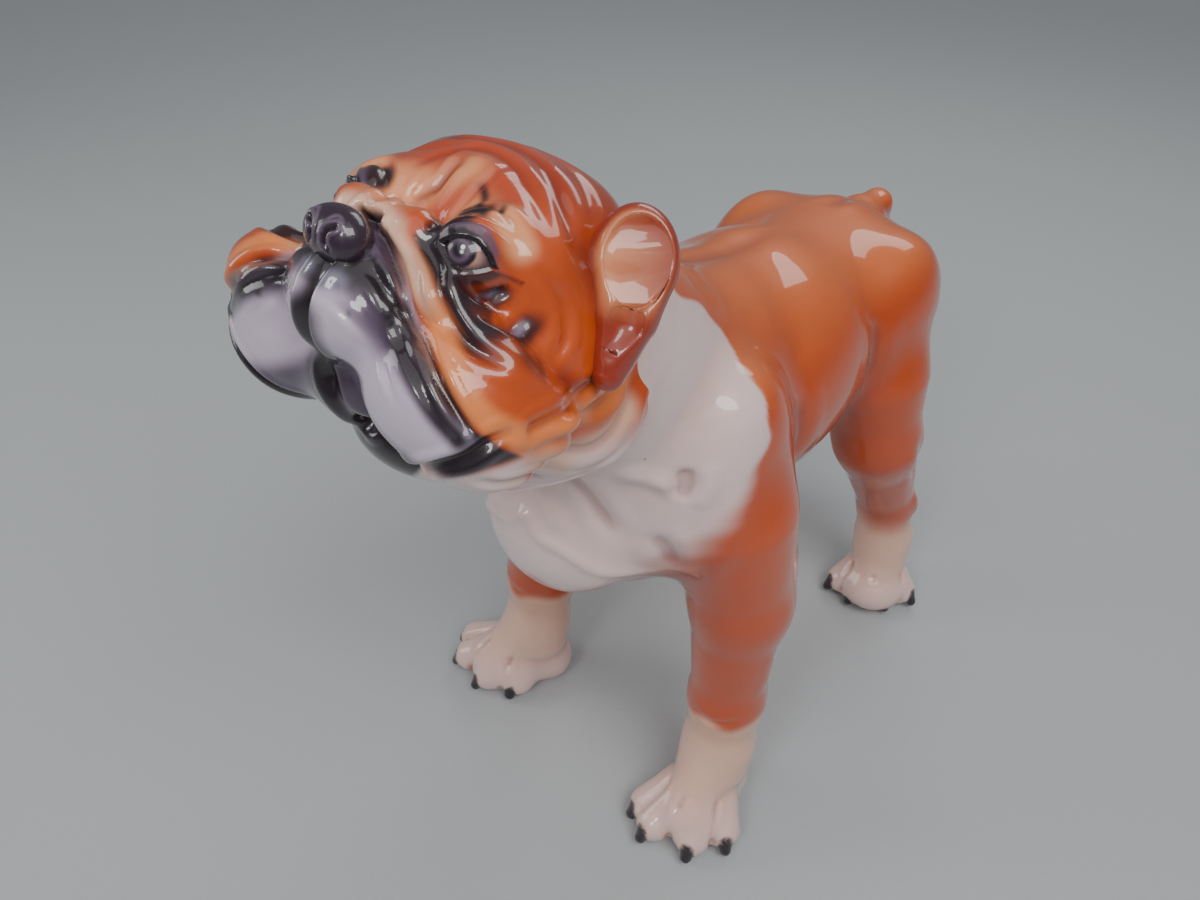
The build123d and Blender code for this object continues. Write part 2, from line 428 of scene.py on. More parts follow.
def leaning(field, points, step=0.4):
    """The way out of a form at each point, and how far out the point already is."""
    here = field(points)
    slope = np.empty_like(points)
    for axis in range(3):
        shifted = points.copy()
        shifted[:, axis] += step
        slope[:, axis] = (field(shifted) - here) / step
    size = np.linalg.norm(slope, axis=1)
    return slope / np.maximum(size, 1e-6)[:, None], here / np.maximum(size, 0.3)


def seated(points, field, rounds=4, most=6.0):
    """Points brought on to the skin of a form."""
    points = np.array(points, float)
    for _ in range(rounds):
        out, far = leaning(field, points)
        points -= out * np.clip(far, -most, most)[:, None]
    return points


def smooth_line(places, parts=8):
    """A smooth line through places, as closely spaced points."""
    p = np.array(places, float)
    if len(p) < 3:
        return p
    ends = np.vstack([2 * p[0] - p[1], p, 2 * p[-1] - p[-2]])
    line = []
    for i in range(1, len(ends) - 2):
        a, b, c, d = ends[i - 1:i + 3]
        for t in np.linspace(0, 1, parts, endpoint=False):
            line.append(0.5 * (2 * b + (c - a) * t + (2 * a - 5 * b + 4 * c - d) * t * t
                               + (3 * b - a - 3 * c + d) * t ** 3))
    line.append(p[-1])
    return np.array(line)


def gap(points, line, reach):
    """How far each point is from a line, and how far along it, for points within reach of it."""
    low = line.min(axis=0) - reach
    high = line.max(axis=0) + reach
    close = np.nonzero(np.all((points > low) & (points < high), axis=1))[0]
    far = np.full(len(points), float(reach))
    part = np.zeros(len(points))
    if len(close) == 0:
        return far, part
    p = points[close]
    if len(line) == 1:
        far[close] = np.minimum(np.linalg.norm(p - line[0], axis=1), reach)
        return far, part
    best = np.full(len(close), float(reach))
    where = np.zeros(len(close))
    count = len(line) - 1
    for i in range(count):
        a = line[i]
        along = line[i + 1] - a
        t = np.clip((p - a) @ along / max(along @ along, 1e-9), 0, 1)
        d = np.linalg.norm(p - a - t[:, None] * along, axis=1)
        closer = d < best
        best[closer] = d[closer]
        where[closer] = (i + t[closer]) / count
    far[close] = best
    part[close] = where
    return far, part


def eased(low, high, value):
    """A smooth step from 0 at low to 1 at high."""
    t = np.clip((value - low) / (high - low), 0, 1)
    return t * t * (3 - 2 * t)


def tapered(part, ends):
    """How full a stroke is along its length, where ends says how much its start and its finish thin out."""
    full = np.ones(len(part))
    if ends[0]:
        full *= eased(-0.02, 0.30 * ends[0] + 0.01, part)
    if ends[1]:
        full *= eased(-0.02, 0.30 * ends[1] + 0.01, 1 - part)
    return full


def mirrored(places, sides):
    """A line on the left side, on the right side, or on each."""
    lines = []
    for side in sides:
        lines.append([both(place, side) for place in places])
    return lines


def relief(points, field, strokes):
    """How far strokes raise each point, or press it in, in millimetres."""
    rise = np.zeros(len(points))
    for places, width, height, ends, sides in strokes:
        for line in mirrored(places, sides):
            line = smooth_line(seated(line, field))
            far, part = gap(points, line, width * 3.2)
            shape = np.exp(-(far / width) ** 2) - math.exp(-3.2 ** 2)
            if height < 0:
                shape -= 0.35 * np.exp(-((far - 1.9 * width) / width) ** 2) * (far < width * 3.1)
            rise += height * shape * tapered(part, ends)
    return rise


def airbrushed(colour, points, field, sprays):
    """Colour with soft strokes sprayed over it, one after another."""
    for places, radius, soft, paint, strength, ends, sides in sprays:
        for line in mirrored(places, sides):
            line = smooth_line(seated(line, field))
            far, part = gap(points, line, radius + soft + 1)
            mask = strength * (1 - eased(radius - soft, radius + soft, far)) * tapered(part, ends)
            washed(colour, paint, mask)
    return colour


def lump_mesh(bm, lumps):
    """Balls and rods for a list of lumps, as a rough block to draw a skin over."""
    for form, sizes, _ in lumps:
        if form is egg:
            turn = Matrix.Rotation(math.radians(sizes.get("swing", 0)), 4, "Z")
            turn = turn @ Matrix.Rotation(math.radians(sizes.get("roll", 0)), 4, "Y")
            turn = turn @ Matrix.Rotation(math.radians(sizes.get("tilt", 0)), 4, "X")
            scale = Matrix.Diagonal((*sizes["radii"], 1))
            place = Matrix.Translation(sizes["centre"]) @ turn @ scale
            bmesh.ops.create_icosphere(bm, subdivisions=4, radius=1, matrix=place)
        else:
            start = Vector(sizes["start"])
            end = Vector(sizes["end"])
            for spot, radius in ((start, sizes["start_radius"]), (end, sizes["end_radius"])):
                place = Matrix.Translation(spot) @ Matrix.Scale(radius, 4)
                bmesh.ops.create_icosphere(bm, subdivisions=4, radius=1, matrix=place)
            along = end - start
            if along.length > 1:
                turn = along.to_track_quat("Z", "Y").to_matrix().to_4x4()
                place = Matrix.Translation((start + end) / 2) @ turn
                bmesh.ops.create_cone(bm, segments=48, radius1=sizes["start_radius"],
                                      radius2=sizes["end_radius"], depth=along.length,
                                      cap_ends=True, matrix=place)


def skinned(name, bm, grain):
    """One closed skin of even quads over a block of lumps, grain millimetres apart."""
    mesh = bpy.data.meshes.new(name)
    bm.to_mesh(mesh)
    bm.free()
    piece = bpy.data.objects.new(name, mesh)
    bpy.context.scene.collection.objects.link(piece)
    skin = piece.modifiers.new("Skin", "REMESH")
    skin.mode = "VOXEL"
    skin.voxel_size = grain
    skin.adaptivity = 0
    shaped = bpy.data.meshes.new_from_object(piece.evaluated_get(bpy.context.evaluated_depsgraph_get()))
    bpy.data.objects.remove(piece)
    bpy.data.meshes.remove(mesh)
    return shaped


def places_of(mesh):
    """A mesh's points as an array."""
    flat = np.empty(len(mesh.vertices) * 3, np.float32)
    mesh.vertices.foreach_get("co", flat)
    return flat.reshape(-1, 3).astype(float)


def put_places(mesh, points):
    """Move a mesh's points."""
    mesh.vertices.foreach_set("co", np.asarray(points, np.float32).ravel())
    mesh.update()


def drawn_over(name, lumps, field, grain, rounds=5):
    """A mesh drawn over a form: a rough skin over its lumps, brought down on to the form."""
    bm = bmesh.new()
    lump_mesh(bm, lumps)
    mesh = skinned(name, bm, grain)
    put_places(mesh, seated(places_of(mesh), field, rounds))
    bm = bmesh.new()
    bm.from_mesh(mesh)
    for _ in range(2):
        bmesh.ops.smooth_vert(bm, verts=bm.verts, factor=0.5, use_axis_x=True, use_axis_y=True,
                              use_axis_z=True)
    bm.to_mesh(mesh)
    bm.free()
    put_places(mesh, seated(places_of(mesh), field, 2, 1.0))
    return mesh


def parted(mesh, name, keep):
    """A copy of a mesh cut along the surface where keep changes sign, and closed inside the cut."""
    bm = bmesh.new()
    bm.from_mesh(mesh)
    bm.verts.ensure_lookup_table()
    points = places_of(mesh)
    values = keep(points)
    true = bm.verts.layers.float_vector.new("true")
    for vert, value in zip(bm.verts, values):
        vert[true] = vert.co
        vert.co.z = value
    geometry = bm.verts[:] + bm.edges[:] + bm.faces[:]
    bmesh.ops.bisect_plane(bm, geom=geometry, dist=1e-5, plane_co=(0, 0, 0), plane_no=(0, 0, 1),
                           clear_outer=True)
    for vert in bm.verts:
        vert.co = vert[true]
    bm.verts.layers.float_vector.remove(true)
    islands = loose_islands(bm)
    if len(islands) > 1:
        small = [v for island in islands[1:] for v in island]
        bmesh.ops.delete(bm, geom=small, context="VERTS")
    rim = [edge for edge in bm.edges if edge.is_boundary]
    for edge in rim:
        edge.smooth = False
    for loop in rim_loops(rim):
        grown = bmesh.ops.extrude_edge_only(bm, edges=loop)["geom"]
        new = [item for item in grown if isinstance(item, bmesh.types.BMVert)]
        middle_point = sum((v.co for v in new), Vector()) / len(new)
        bmesh.ops.pointmerge(bm, verts=new, merge_co=middle_point)
    bmesh.ops.recalc_face_normals(bm, faces=bm.faces)
    part = bpy.data.meshes.new(name)
    bm.to_mesh(part)
    bm.free()
    return part


def loose_islands(bm):
    """The separate pieces of a mesh, the largest first."""
    seen = set()
    islands = []
    for start in bm.verts:
        if start in seen:
            continue
        seen.add(start)
        island = [start]
        for vert in island:
            for edge in vert.link_edges:
                other = edge.other_vert(vert)
                if other not in seen:
                    seen.add(other)
                    island.append(other)
        islands.append(island)
    islands.sort(key=len, reverse=True)
    return islands


def rim_loops(rim):
    """Open edges sorted into loops."""
    left = set(rim)
    loops = []
    while left:
        edge = left.pop()
        loop = [edge]
        for item in loop:
            for vert in item.verts:
                for other in vert.link_edges:
                    if other in left:
                        left.discard(other)
                        loop.append(other)
        loops.append(loop)
    return loops


# Lines pressed into the clay: places along the line, half width, height (less than nothing is a groove),
# how far each end thins out, and the sides it is on. LEFT keeps
# a stroke's places as they are given, and RIGHT takes their mirror image.

BOTH_SIDES = (1, -1)
LEFT = (1,)
RIGHT = (-1,)

HEAD_RELIEF = [
    ([(-2, -98, 494), (-4, -84, 490), (-6, -66, 489), (-4, -46, 494)], 3.0, -2.6, (0, 1), LEFT),
    ([(4, -90, 491), (8, -76, 489), (12, -62, 491), (14, -44, 494)], 2.0, -1.2, (1, 1), BOTH_SIDES),
    ([(-17, -74, 488), (-18, -58, 491), (-8, -45, 494), (10, -45, 494), (26, -51, 491), (41, -59, 487),
      (53, -70, 477)], 2.4, -0.8, (1, 1), LEFT),
    ([(-23, -53, 492), (-18, -36, 493), (7, -34, 494), (30, -42, 491), (45, -51, 483), (56, -60, 472)],
     2.8, -0.9, (1, 1), LEFT),
    ([(0, -44, 494), (14, -44, 494), (28, -50, 491), (42, -58, 485)], 2.4, -0.8, (1, 1), RIGHT),
    ([(-10, -22, 492), (12, -24, 492), (34, -30, 488), (50, -40, 478), (58, -52, 464)],
     3.2, -0.7, (1, 1), BOTH_SIDES),
    ([(-14, -66, 487), (-8, -54, 492), (6, -51, 493), (20, -55, 491), (34, -63, 490)],
     2.0, 1.0, (1, 1), LEFT),
    ([(52, -76, 478), (59, -70, 463), (64, -73, 450), (66, -84, 444)], 2.4, -1.2, (1, 1), BOTH_SIDES),
    ([(18, -92, 488), (20, -80, 488), (28, -72, 489), (38, -72, 489), (46, -76, 483)],
     2.2, -1.6, (1, 1), BOTH_SIDES),
    ([(38, -103, 474), (46, -98, 470), (50, -90, 470), (50, -84, 473)], 2.0, -1.6, (1, 1), BOTH_SIDES),
    ([(47, -104, 469), (54, -97, 464), (55, -90, 460), (53, -82, 462)], 2.4, -2.0, (1, 1), BOTH_SIDES),
    ([(-5, -102, 490), (8, -105, 486), (22, -111, 479), (31, -116, 469), (45, -121, 462), (57, -125, 453),
      (65, -125, 443), (70, -121, 436)], 2.2, -3.0, (0, 1), BOTH_SIDES),
    ([(13, -100, 493), (25, -102, 488), (34, -104, 484), (41, -109, 478), (46, -110, 469),
      (55, -111, 463), (65, -107, 458), (70, -98, 450)], 2.4, -2.0, (1, 1), BOTH_SIDES),
    ([(9, -120, 481), (18, -118, 479), (26, -119, 473), (33, -121, 463), (48, -127, 456), (58, -129, 447),
      (64, -127, 438)], 2.2, -1.8, (1, 1), BOTH_SIDES),
    ([(13, -115, 482), (24, -117, 477), (36, -120, 465), (50, -125, 457), (62, -126, 447), (69, -123, 438)],
     1.8, -1.3, (1, 1), BOTH_SIDES),
    ([(4, -131, 474), (20, -133, 468), (34, -136, 456), (46, -138, 444)], 1.6, -0.7, (1, 1), BOTH_SIDES),
    ([(0, -122, 480), (-2, -131, 472), (-3, -135, 462), (-4, -134, 448), (-8, -126, 430), (-8, -112, 408)],
     3.0, -4.0, (0, 0), LEFT),
    ([(22, -124, 404), (40, -132, 412), (56, -132, 424), (66, -127, 430), (72, -119, 436), (76, -106, 436)],
     2.6, -3.2, (1, 1), BOTH_SIDES),
    ([(76, -104, 434), (75, -83, 431), (69, -66, 427), (68, -56, 434)], 3.0, -2.2, (0, 1), BOTH_SIDES),
    ([(76, -106, 426), (78, -90, 422), (66, -56, 412), (61, -38, 414)], 3.2, -2.0, (1, 1), BOTH_SIDES),
    ([(75, -110, 416), (68, -84, 398), (66, -60, 392), (66, -40, 398), (62, -24, 412)],
     3.6, -2.6, (1, 1), BOTH_SIDES),
    ([(64, -124, 420), (70, -118, 414), (73, -106, 410), (66, -90, 402)], 2.4, -1.6, (1, 1), BOTH_SIDES),
    ([(60, -68, 404), (65, -52, 405), (64, -38, 408), (60, -26, 424)], 3.4, 2.0, (1, 1), BOTH_SIDES),
    ([(54, -60, 380), (60, -44, 382), (60, -26, 394), (56, -12, 408)], 4.0, 2.4, (1, 1), BOTH_SIDES),
    ([(20, -104, 384), (44, -92, 380), (58, -72, 378)], 3.0, -2.0, (1, 1), BOTH_SIDES),
]

LID_RELIEF = [
    ([(22, -98, 478), (26, -97, 488), (34, -92, 494), (42, -85, 492), (48, -80, 482)],
     1.3, 0.9, (1, 1), BOTH_SIDES),
    ([(20, -98, 478), (24, -96, 490), (34, -90, 497), (44, -82, 494), (50, -77, 482)],
     1.5, -1.3, (1, 1), BOTH_SIDES),
]

BODY_RELIEF = [
    ([(64, 6, 322), (72, 2, 332), (74, -2, 344)], 6.0, -4.0, (1, 1), BOTH_SIDES),
    ([(46, -26, 344), (60, -10, 336), (72, 4, 324)], 5.0, 3.0, (1, 1), BOTH_SIDES),
    ([(20, -50, 352), (34, -44, 332), (44, -30, 310), (50, -18, 290)], 5.0, -2.4, (1, 1), BOTH_SIDES),
    ([(6, -48, 330), (14, -46, 310), (26, -40, 296)], 5.0, 2.0, (1, 1), BOTH_SIDES),
    ([(58, -6, 300), (66, 0, 284), (66, 6, 268)], 6.0, -2.6, (1, 1), BOTH_SIDES),
    ([(0, -46, 300), (12, -44, 290), (26, -36, 284), (40, -26, 272), (52, -8, 262), (64, 4, 256)],
     4.0, 2.2, (0, 1), BOTH_SIDES),
    ([(86, 30, 330), (92, 20, 300), (90, 14, 270), (84, 22, 240)], 7.0, 1.6, (1, 1), BOTH_SIDES),
    ([(78, 108, 330), (80, 112, 300), (74, 106, 270)], 8.0, -2.2, (1, 1), BOTH_SIDES),
    ([(72, 216, 330), (76, 214, 300), (72, 216, 270)], 8.0, -2.2, (1, 1), BOTH_SIDES),
    ([(0, 60, 424), (0, 100, 404), (0, 160, 380), (0, 220, 376)], 9.0, -2.0, (1, 1), LEFT),
    ([(0, 262, 366), (0, 290, 360), (0, 312, 350)], 6.0, -1.6, (1, 1), LEFT),
    ([(100, 266, 212), (98, 280, 180), (98, 294, 150)], 6.0, -2.4, (1, 1), BOTH_SIDES),
    ([(94, 302, 128), (98, 310, 112), (96, 316, 96)], 5.0, 2.0, (1, 1), BOTH_SIDES),
    ([(108, 40, 120), (100, 32, 116), (88, 28, 114), (74, 32, 116)], 3.0, -1.2, (1, 1), BOTH_SIDES),
    ([(112, 62, 190), (110, 66, 160), (106, 64, 134)], 6.0, -1.8, (1, 1), BOTH_SIDES),
]


def paw_relief():
    """The grooves between the toes, on every paw."""
    strokes = []
    for side, limb, heel, claws in LEGS.values():
        tips = [np.array(tip) for _, tip, _ in toes(heel, claws)]
        knuckles = [np.array(knuckle) for knuckle, _, _ in toes(heel, claws)]
        for i in range(3):
            front = (tips[i] + tips[i + 1]) / 2
            back = (knuckles[i] + knuckles[i + 1]) / 2
            back = back + np.array((0, 0, 14.0))
            line = [tuple(front + (0, 0, 2)), tuple((front + back) / 2 + (0, 0, 4)), tuple(back)]
            strokes.append((line, 2.4, -2.0, (0, 1), LEFT))
    return strokes


def shade(red, green, blue):
    """A colour from a paint chart, 0 to 255, as linear light."""
    return tuple(
        (v / 255 / 12.92) if v < 10 else ((v / 255 + 0.055) / 1.055) ** 2.4
        for v in (red, green, blue)
    )


# RUST is a deep rust-red. The body and head lay it mostly as painted shade in folds and, on the body, on
# undersides.
RUST = shade(140, 34, 10)
ORANGE = shade(206, 84, 30)
AMBER = shade(236, 136, 74)
BROWN = shade(128, 40, 22)
ROSE = shade(190, 78, 54)
PEACH = shade(240, 160, 112)
CREAM = shade(236, 188, 162)
WHITE = shade(232, 208, 208)
LILAC = shade(206, 190, 210)
DUSK = shade(92, 76, 98)
BLACK = shade(34, 22, 32)
GREY = shade(130, 128, 150)

# The bib's rear edge: how far back the white reaches at each height.

BIB_HEIGHTS = (250, 262, 292, 308, 317, 338, 352, 371, 380, 401, 426, 470)
BIB_BACKS = (-6, 0, 6, 14, 26, 34, 40, 48, 56, 44, 20, -10)


def washed(colour, paint, share):
    """Lay a paint over a colour: share is 0 for none of it and 1 for nothing else."""
    colour += (np.array(paint) - colour) * share[:, None]


def hollowness(points, out, field, reach=9.0):
    """0 on open skin and towards 1 down in a fold; the colours lay painted shade in folds by it."""
    return np.clip(1 - field(points + out * reach) / reach, 0, 1)


def body_tint(points, out, field):
    """The body's colour: orange with a little rust-red, rust-red painted shade down in folds and on
    undersides, an amber painted highlight on top of the back, a white bib, and pale feet.
    """
    count = len(points)
    x, y, z = points.T
    deep = hollowness(points, out, field)
    colour = np.tile(np.array(ORANGE), (count, 1))
    # Painted shade: the orange takes a little rust-red everywhere, and much more down in folds, more so
    # higher up the body.
    upper = 0.25 + 0.75 * eased(150, 260, z)
    washed(colour, RUST, np.clip(0.15 + 1.1 * deep * upper, 0, 0.95))
    # Painted shade: surfaces that face the ground are darkened towards rust-red.
    under = eased(0.1, -0.9, out[:, 2])
    washed(colour, RUST, 0.55 * under)
    # Painted highlight: amber on the upward-facing top of the back, where the light falls.
    back = eased(0.35, 0.95, out[:, 2]) * eased(250, 330, z)
    washed(colour, AMBER, 0.45 * back)
    legs = eased(250, 190, z)
    washed(colour, shade(186, 74, 34), 0.55 * legs)

    edge = np.interp(z, BIB_HEIGHTS, BIB_BACKS)
    wander = 2.5 * np.sin(z * 0.13) + 1.5 * np.sin(z * 0.31 + 1)
    soft = np.interp(z, (262, 320, 350), (14.0, 8.0, 1.6))
    bib = eased(0, 1, 0.5 - (y - edge - wander) / (2 * soft))
    floor_line = 252 - 0.1 * np.abs(x) + 3 * np.sin(x * 0.22)
    bib *= eased(-6, 8, z - floor_line)
    # Painted shade: the white bib turns cream down in its folds.
    white = np.array(WHITE) + (np.array(CREAM) - np.array(WHITE)) * np.clip(deep * 1.6, 0, 1)[:, None]
    washed(colour, white, bib)

    front = y < 180
    sock = np.where(front, eased(116, 106, z + 3 * np.sin(x * 0.2)), eased(112, 78, z))
    pale = np.array(WHITE) + (np.array(CREAM) - np.array(WHITE)) * (0.35 + 0.5 * eased(20, 60, z))[:, None]
    # Painted shade: the pale feet turn a warm tan down in their folds.
    washed(pale, shade(190, 120, 84), np.clip(1.3 * deep - 0.1, 0, 0.75))
    washed(pale, shade(222, 168, 134), 0.6 * eased(70, 105, z))
    washed(colour, pale, sock * 0.96)
    return colour


def no_ink(points):
    """No black anywhere near."""
    return np.full(len(points), NO_INK)


def claw_ink(points):
    """How far each point is outside the black of the nearest claw."""
    edge = no_ink(points)
    near_ground = points[:, 2] < 40
    if near_ground.any():
        for side, limb, heel, claws in LEGS.values():
            black = united(points[near_ground], claw_lumps(heel, claws)) - 0.7
            edge[near_ground] = np.minimum(edge[near_ground], black)
    return edge


# Soft paint: places along the stroke, radius, softness, colour, strength, how its ends thin, and its sides.

HEAD_SPRAYS = [
    ([(0, -60, 490), (0, -30, 488), (0, 0, 470)], 36, 24, ROSE, 0.75, (0, 0), LEFT),
    ([(36, -34, 488), (50, -30, 472), (56, -30, 450)], 16, 14, BROWN, 0.6, (0, 0), BOTH_SIDES),
    ([(-13, -79, 484), (-9, -71, 486), (-4, -63, 488), (2, -56, 491)], 7, 7, PEACH, 0.9, (0, 0), LEFT),
    ([(6, -92, 490), (12, -80, 488), (18, -72, 488)], 8, 7, PEACH, 0.75, (0, 0), BOTH_SIDES),
    ([(35, -72, 491), (41, -75, 488), (47, -77, 484)], 6.5, 4, PEACH, 0.97, (0, 0), BOTH_SIDES),
    ([(-2, -98, 494), (-5, -80, 490), (-5, -60, 489), (-4, -46, 493)],
     1.8, 2.4, BROWN, 0.8, (0, 1), LEFT),
    ([(-17, -74, 488), (-18, -58, 491), (-8, -45, 494), (10, -45, 494), (26, -51, 491), (41, -59, 487)],
     1.6, 2.2, BROWN, 0.6, (1, 1), LEFT),
    ([(-18, -36, 493), (7, -34, 494), (30, -42, 491), (45, -51, 483), (56, -60, 472)],
     2.0, 2.6, BROWN, 0.7, (1, 1), BOTH_SIDES),
    ([(52, -84, 460), (60, -74, 446), (64, -66, 432)], 14, 10, ORANGE, 0.8, (0, 0), BOTH_SIDES),
    ([(58, -52, 474), (62, -50, 452), (64, -54, 434)], 7, 7, BROWN, 0.75, (0, 0), BOTH_SIDES),
    ([(66, -84, 444), (70, -74, 432), (68, -58, 426)], 4, 4, RUST, 0.8, (1, 1), BOTH_SIDES),
    ([(30, -105, 487), (36, -105, 482), (43, -108, 477), (47, -108, 471), (54, -108, 466),
      (62, -105, 461), (69, -99, 455)], 6.5, 3.6, BLACK, 0.97, (0, 1), BOTH_SIDES),
    ([(44, -103, 472), (48, -97, 469), (51, -90, 470), (50, -84, 474)],
     5.0, 3.0, BLACK, 0.92, (0, 1), BOTH_SIDES),
    ([(54, -103, 466), (57, -97, 461), (58, -90, 457), (57, -82, 459), (56, -78, 464)],
     4.4, 2.8, BLACK, 0.92, (0, 1), BOTH_SIDES),
    ([(62, -102, 458), (66, -94, 452), (69, -86, 445)], 5, 4, BLACK, 0.8, (1, 1), BOTH_SIDES),
    ([(47, -97, 471), (48, -92, 470), (50, -88, 472)], 1.6, 1.6, GREY, 0.75, (1, 1), BOTH_SIDES),
    ([(57, -96, 462), (57, -89, 459), (56, -83, 461)], 1.6, 1.6, GREY, 0.8, (1, 1), BOTH_SIDES),
    ([(53, -93, 466), (53, -88, 466), (54, -84, 468)], 2.4, 2.0, ORANGE, 0.9, (0, 0), BOTH_SIDES),
    ([(30, -101, 485), (29, -98, 488), (27, -92, 490), (22, -84, 489), (22, -78, 489)],
     3.6, 2.2, BLACK, 0.97, (0, 0), LEFT),
    ([(31, -100, 486), (31, -95, 490), (29, -88, 492), (26, -79, 491)],
     7.6, 2.2, BLACK, 0.97, (0, 0), BOTH_SIDES),
    ([(22, -84, 489), (23, -78, 489), (26, -75, 491), (29, -72, 491), (33, -69, 491)],
     3.8, 1.9, BLACK, 0.97, (0, 1), LEFT),
    ([(9, -58, 490), (14, -61, 489), (19, -65, 488), (24, -73, 489)],
     1.7, 1.5, BLACK, 0.92, (1, 0), LEFT),
    ([(26, -80, 490), (31, -76, 491), (33, -71, 491), (30, -64, 490)],
     1.6, 1.3, BLACK, 0.95, (0, 1), LEFT),
    ([(12, -104, 489), (28, -108, 480), (39, -112, 473), (49, -116, 463), (60, -121, 455),
      (68, -119, 444), (72, -110, 434)], 4.6, 2.6, AMBER, 0.97, (0, 0), BOTH_SIDES),
    ([(8, -103, 490), (20, -106, 485), (33, -110, 477), (44, -114, 468)],
     3.4, 2.6, CREAM, 0.95, (0, 1), BOTH_SIDES),
    ([(-14, -103, 491), (0, -102, 492), (14, -103, 490)], 4.5, 3.4, CREAM, 0.9, (0, 0), LEFT),
    ([(2, -104, 488), (14, -108, 483), (26, -113, 476), (35, -117, 466), (49, -123, 459)],
     1.8, 1.6, LILAC, 0.85, (1, 1), BOTH_SIDES),
    ([(-5, -102, 490), (8, -105, 486), (22, -111, 479), (31, -116, 469), (45, -121, 462), (57, -125, 453),
      (65, -125, 443), (70, -121, 436)], 1.4, 1.5, BLACK, 0.97, (0, 0), BOTH_SIDES),
    ([(76, -106, 428), (78, -90, 425), (66, -56, 414), (61, -36, 414)],
     7, 6, AMBER, 0.85, (0, 0), BOTH_SIDES),
    ([(60, -84, 394), (66, -56, 394), (65, -38, 398)], 7, 6, CREAM, 0.9, (0, 0), BOTH_SIDES),
    ([(68, -70, 404), (66, -48, 403), (62, -30, 408)],
     2.4, 2.6, shade(196, 96, 56), 0.8, (1, 1), BOTH_SIDES),
    ([(0, -116, 384), (30, -108, 380), (52, -84, 376), (58, -60, 374), (56, -40, 372)],
     20, 9, WHITE, 0.97, (0, 0), BOTH_SIDES),
    ([(0, -120, 396), (24, -118, 396), (50, -116, 402), (62, -112, 406)],
     10, 5, WHITE, 0.92, (0, 0), BOTH_SIDES),
    ([(64, -112, 402), (68, -98, 398), (62, -76, 388)], 5, 5, CREAM, 0.85, (0, 0), BOTH_SIDES),
    ([(20, -124, 398), (40, -128, 402), (56, -124, 406), (68, -112, 410)],
     9, 4, WHITE, 0.95, (0, 0), BOTH_SIDES),
    ([(72, -110, 416), (76, -98, 414), (72, -80, 406)], 6, 5, CREAM, 0.85, (0, 0), BOTH_SIDES),
    ([(56, -132, 416), (64, -127, 416), (70, -121, 417), (75, -113, 418), (78, -102, 418)],
     6.5, 3.5, WHITE, 0.95, (0, 1), BOTH_SIDES),
    ([(60, -130, 426), (69, -124, 429), (75, -113, 431)], 3.6, 2.4, BLACK, 0.92, (0, 1), BOTH_SIDES),
]

# The same for the muzzle, which is sprayed on its own in front of the fold.

MUZZLE_SPRAYS = [
    ([(5, -132, 469), (14, -134, 458), (24, -136, 446), (40, -137, 438), (52, -134, 434)],
     11, 5, LILAC, 1.0, (0, 0), BOTH_SIDES),
    ([(34, -134, 452), (50, -134, 444), (60, -130, 436)], 7, 5, LILAC, 0.95, (0, 0), BOTH_SIDES),
    ([(0, -118, 482), (0, -126, 479), (18, -120, 479), (34, -116, 470)],
     6, 4, BLACK, 0.9, (0, 0), BOTH_SIDES),
    ([(30, -114, 472), (42, -120, 464), (54, -124, 456), (62, -124, 449)],
     3.4, 2.4, shade(170, 118, 98), 0.95, (1, 0), BOTH_SIDES),
    ([(2, -125, 480), (9, -121, 481), (18, -119, 479), (26, -120, 473), (33, -123, 463), (48, -129, 455),
      (58, -131, 446), (64, -128, 438)], 3.8, 2.6, BLACK, 0.97, (0, 0), BOTH_SIDES),
    ([(14, -115, 482), (24, -117, 477), (36, -120, 465), (50, -125, 457), (62, -126, 447), (69, -122, 438)],
     1.4, 1.4, BLACK, 0.85, (0, 0), BOTH_SIDES),
    ([(-1, -131, 475), (1, -129, 477), (9, -127, 478), (15, -126, 476)],
     2.6, 2.4, GREY, 0.75, (1, 1), BOTH_SIDES),
    ([(0, -124, 480), (-2, -131, 473), (-3, -135, 463)], 3.4, 2.6, BLACK, 0.97, (0, 0), LEFT),
    ([(-3, -135, 463), (-4, -134, 450), (-10, -127, 430), (-12, -118, 408)],
     8.5, 4.5, BLACK, 0.98, (0, 0), LEFT),
    ([(-62, -118, 458), (-50, -112, 464), (-34, -114, 472)], 8, 6, BLACK, 0.9, (0, 0), LEFT),
    ([(66, -130, 424), (74, -118, 432)], 7, 4, BLACK, 0.95, (0, 0), BOTH_SIDES),
    ([(17, -130, 469), (17, -130, 469.5)], 0.7, 1.2, DUSK, 0.8, (0, 0), LEFT),
    ([(-40, -129, 456), (-40, -129, 456.5)], 1.2, 1.6, BLACK, 0.8, (0, 0), LEFT),
]


def lid_ink(points):
    """How far each point is from the black line round the eyes."""
    edge = no_ink(points)
    for side, centre in EYES.items():
        axes = lid_axes(side)
        close = np.linalg.norm(points - np.array(centre, float), axis=1) < 24
        p = (points[close] - np.array(centre, float)) @ np.array(axes).T
        outside = lid_edge(p[:, 0], p[:, 1])
        wide = np.where(p[:, 1] > 0, 1.9, 0.4) + 1.6 * eased(2, -10, p[:, 0])
        line = np.maximum(outside - wide, np.abs(p[:, 0]) - 12.0)
        edge[close] = np.minimum(edge[close], np.where(p[:, 2] > 0, line, NO_INK))
    return edge


# The fold over the bridge (FOLD) and the lip's lower edge (LIP), as rows to read between: x outwards.

FOLD_X = (0, 8, 22, 31, 45, 57, 65, 72)
FOLD_Y = (-103, -105, -111, -116, -121, -125, -125, -119)
FOLD_Z = (490, 486, 479, 469, 462, 453, 443, 434)
LIP_X = (0, 20, 38, 50, 61, 72)
LIP_Z = (402, 410, 420, 423, 426, 431)


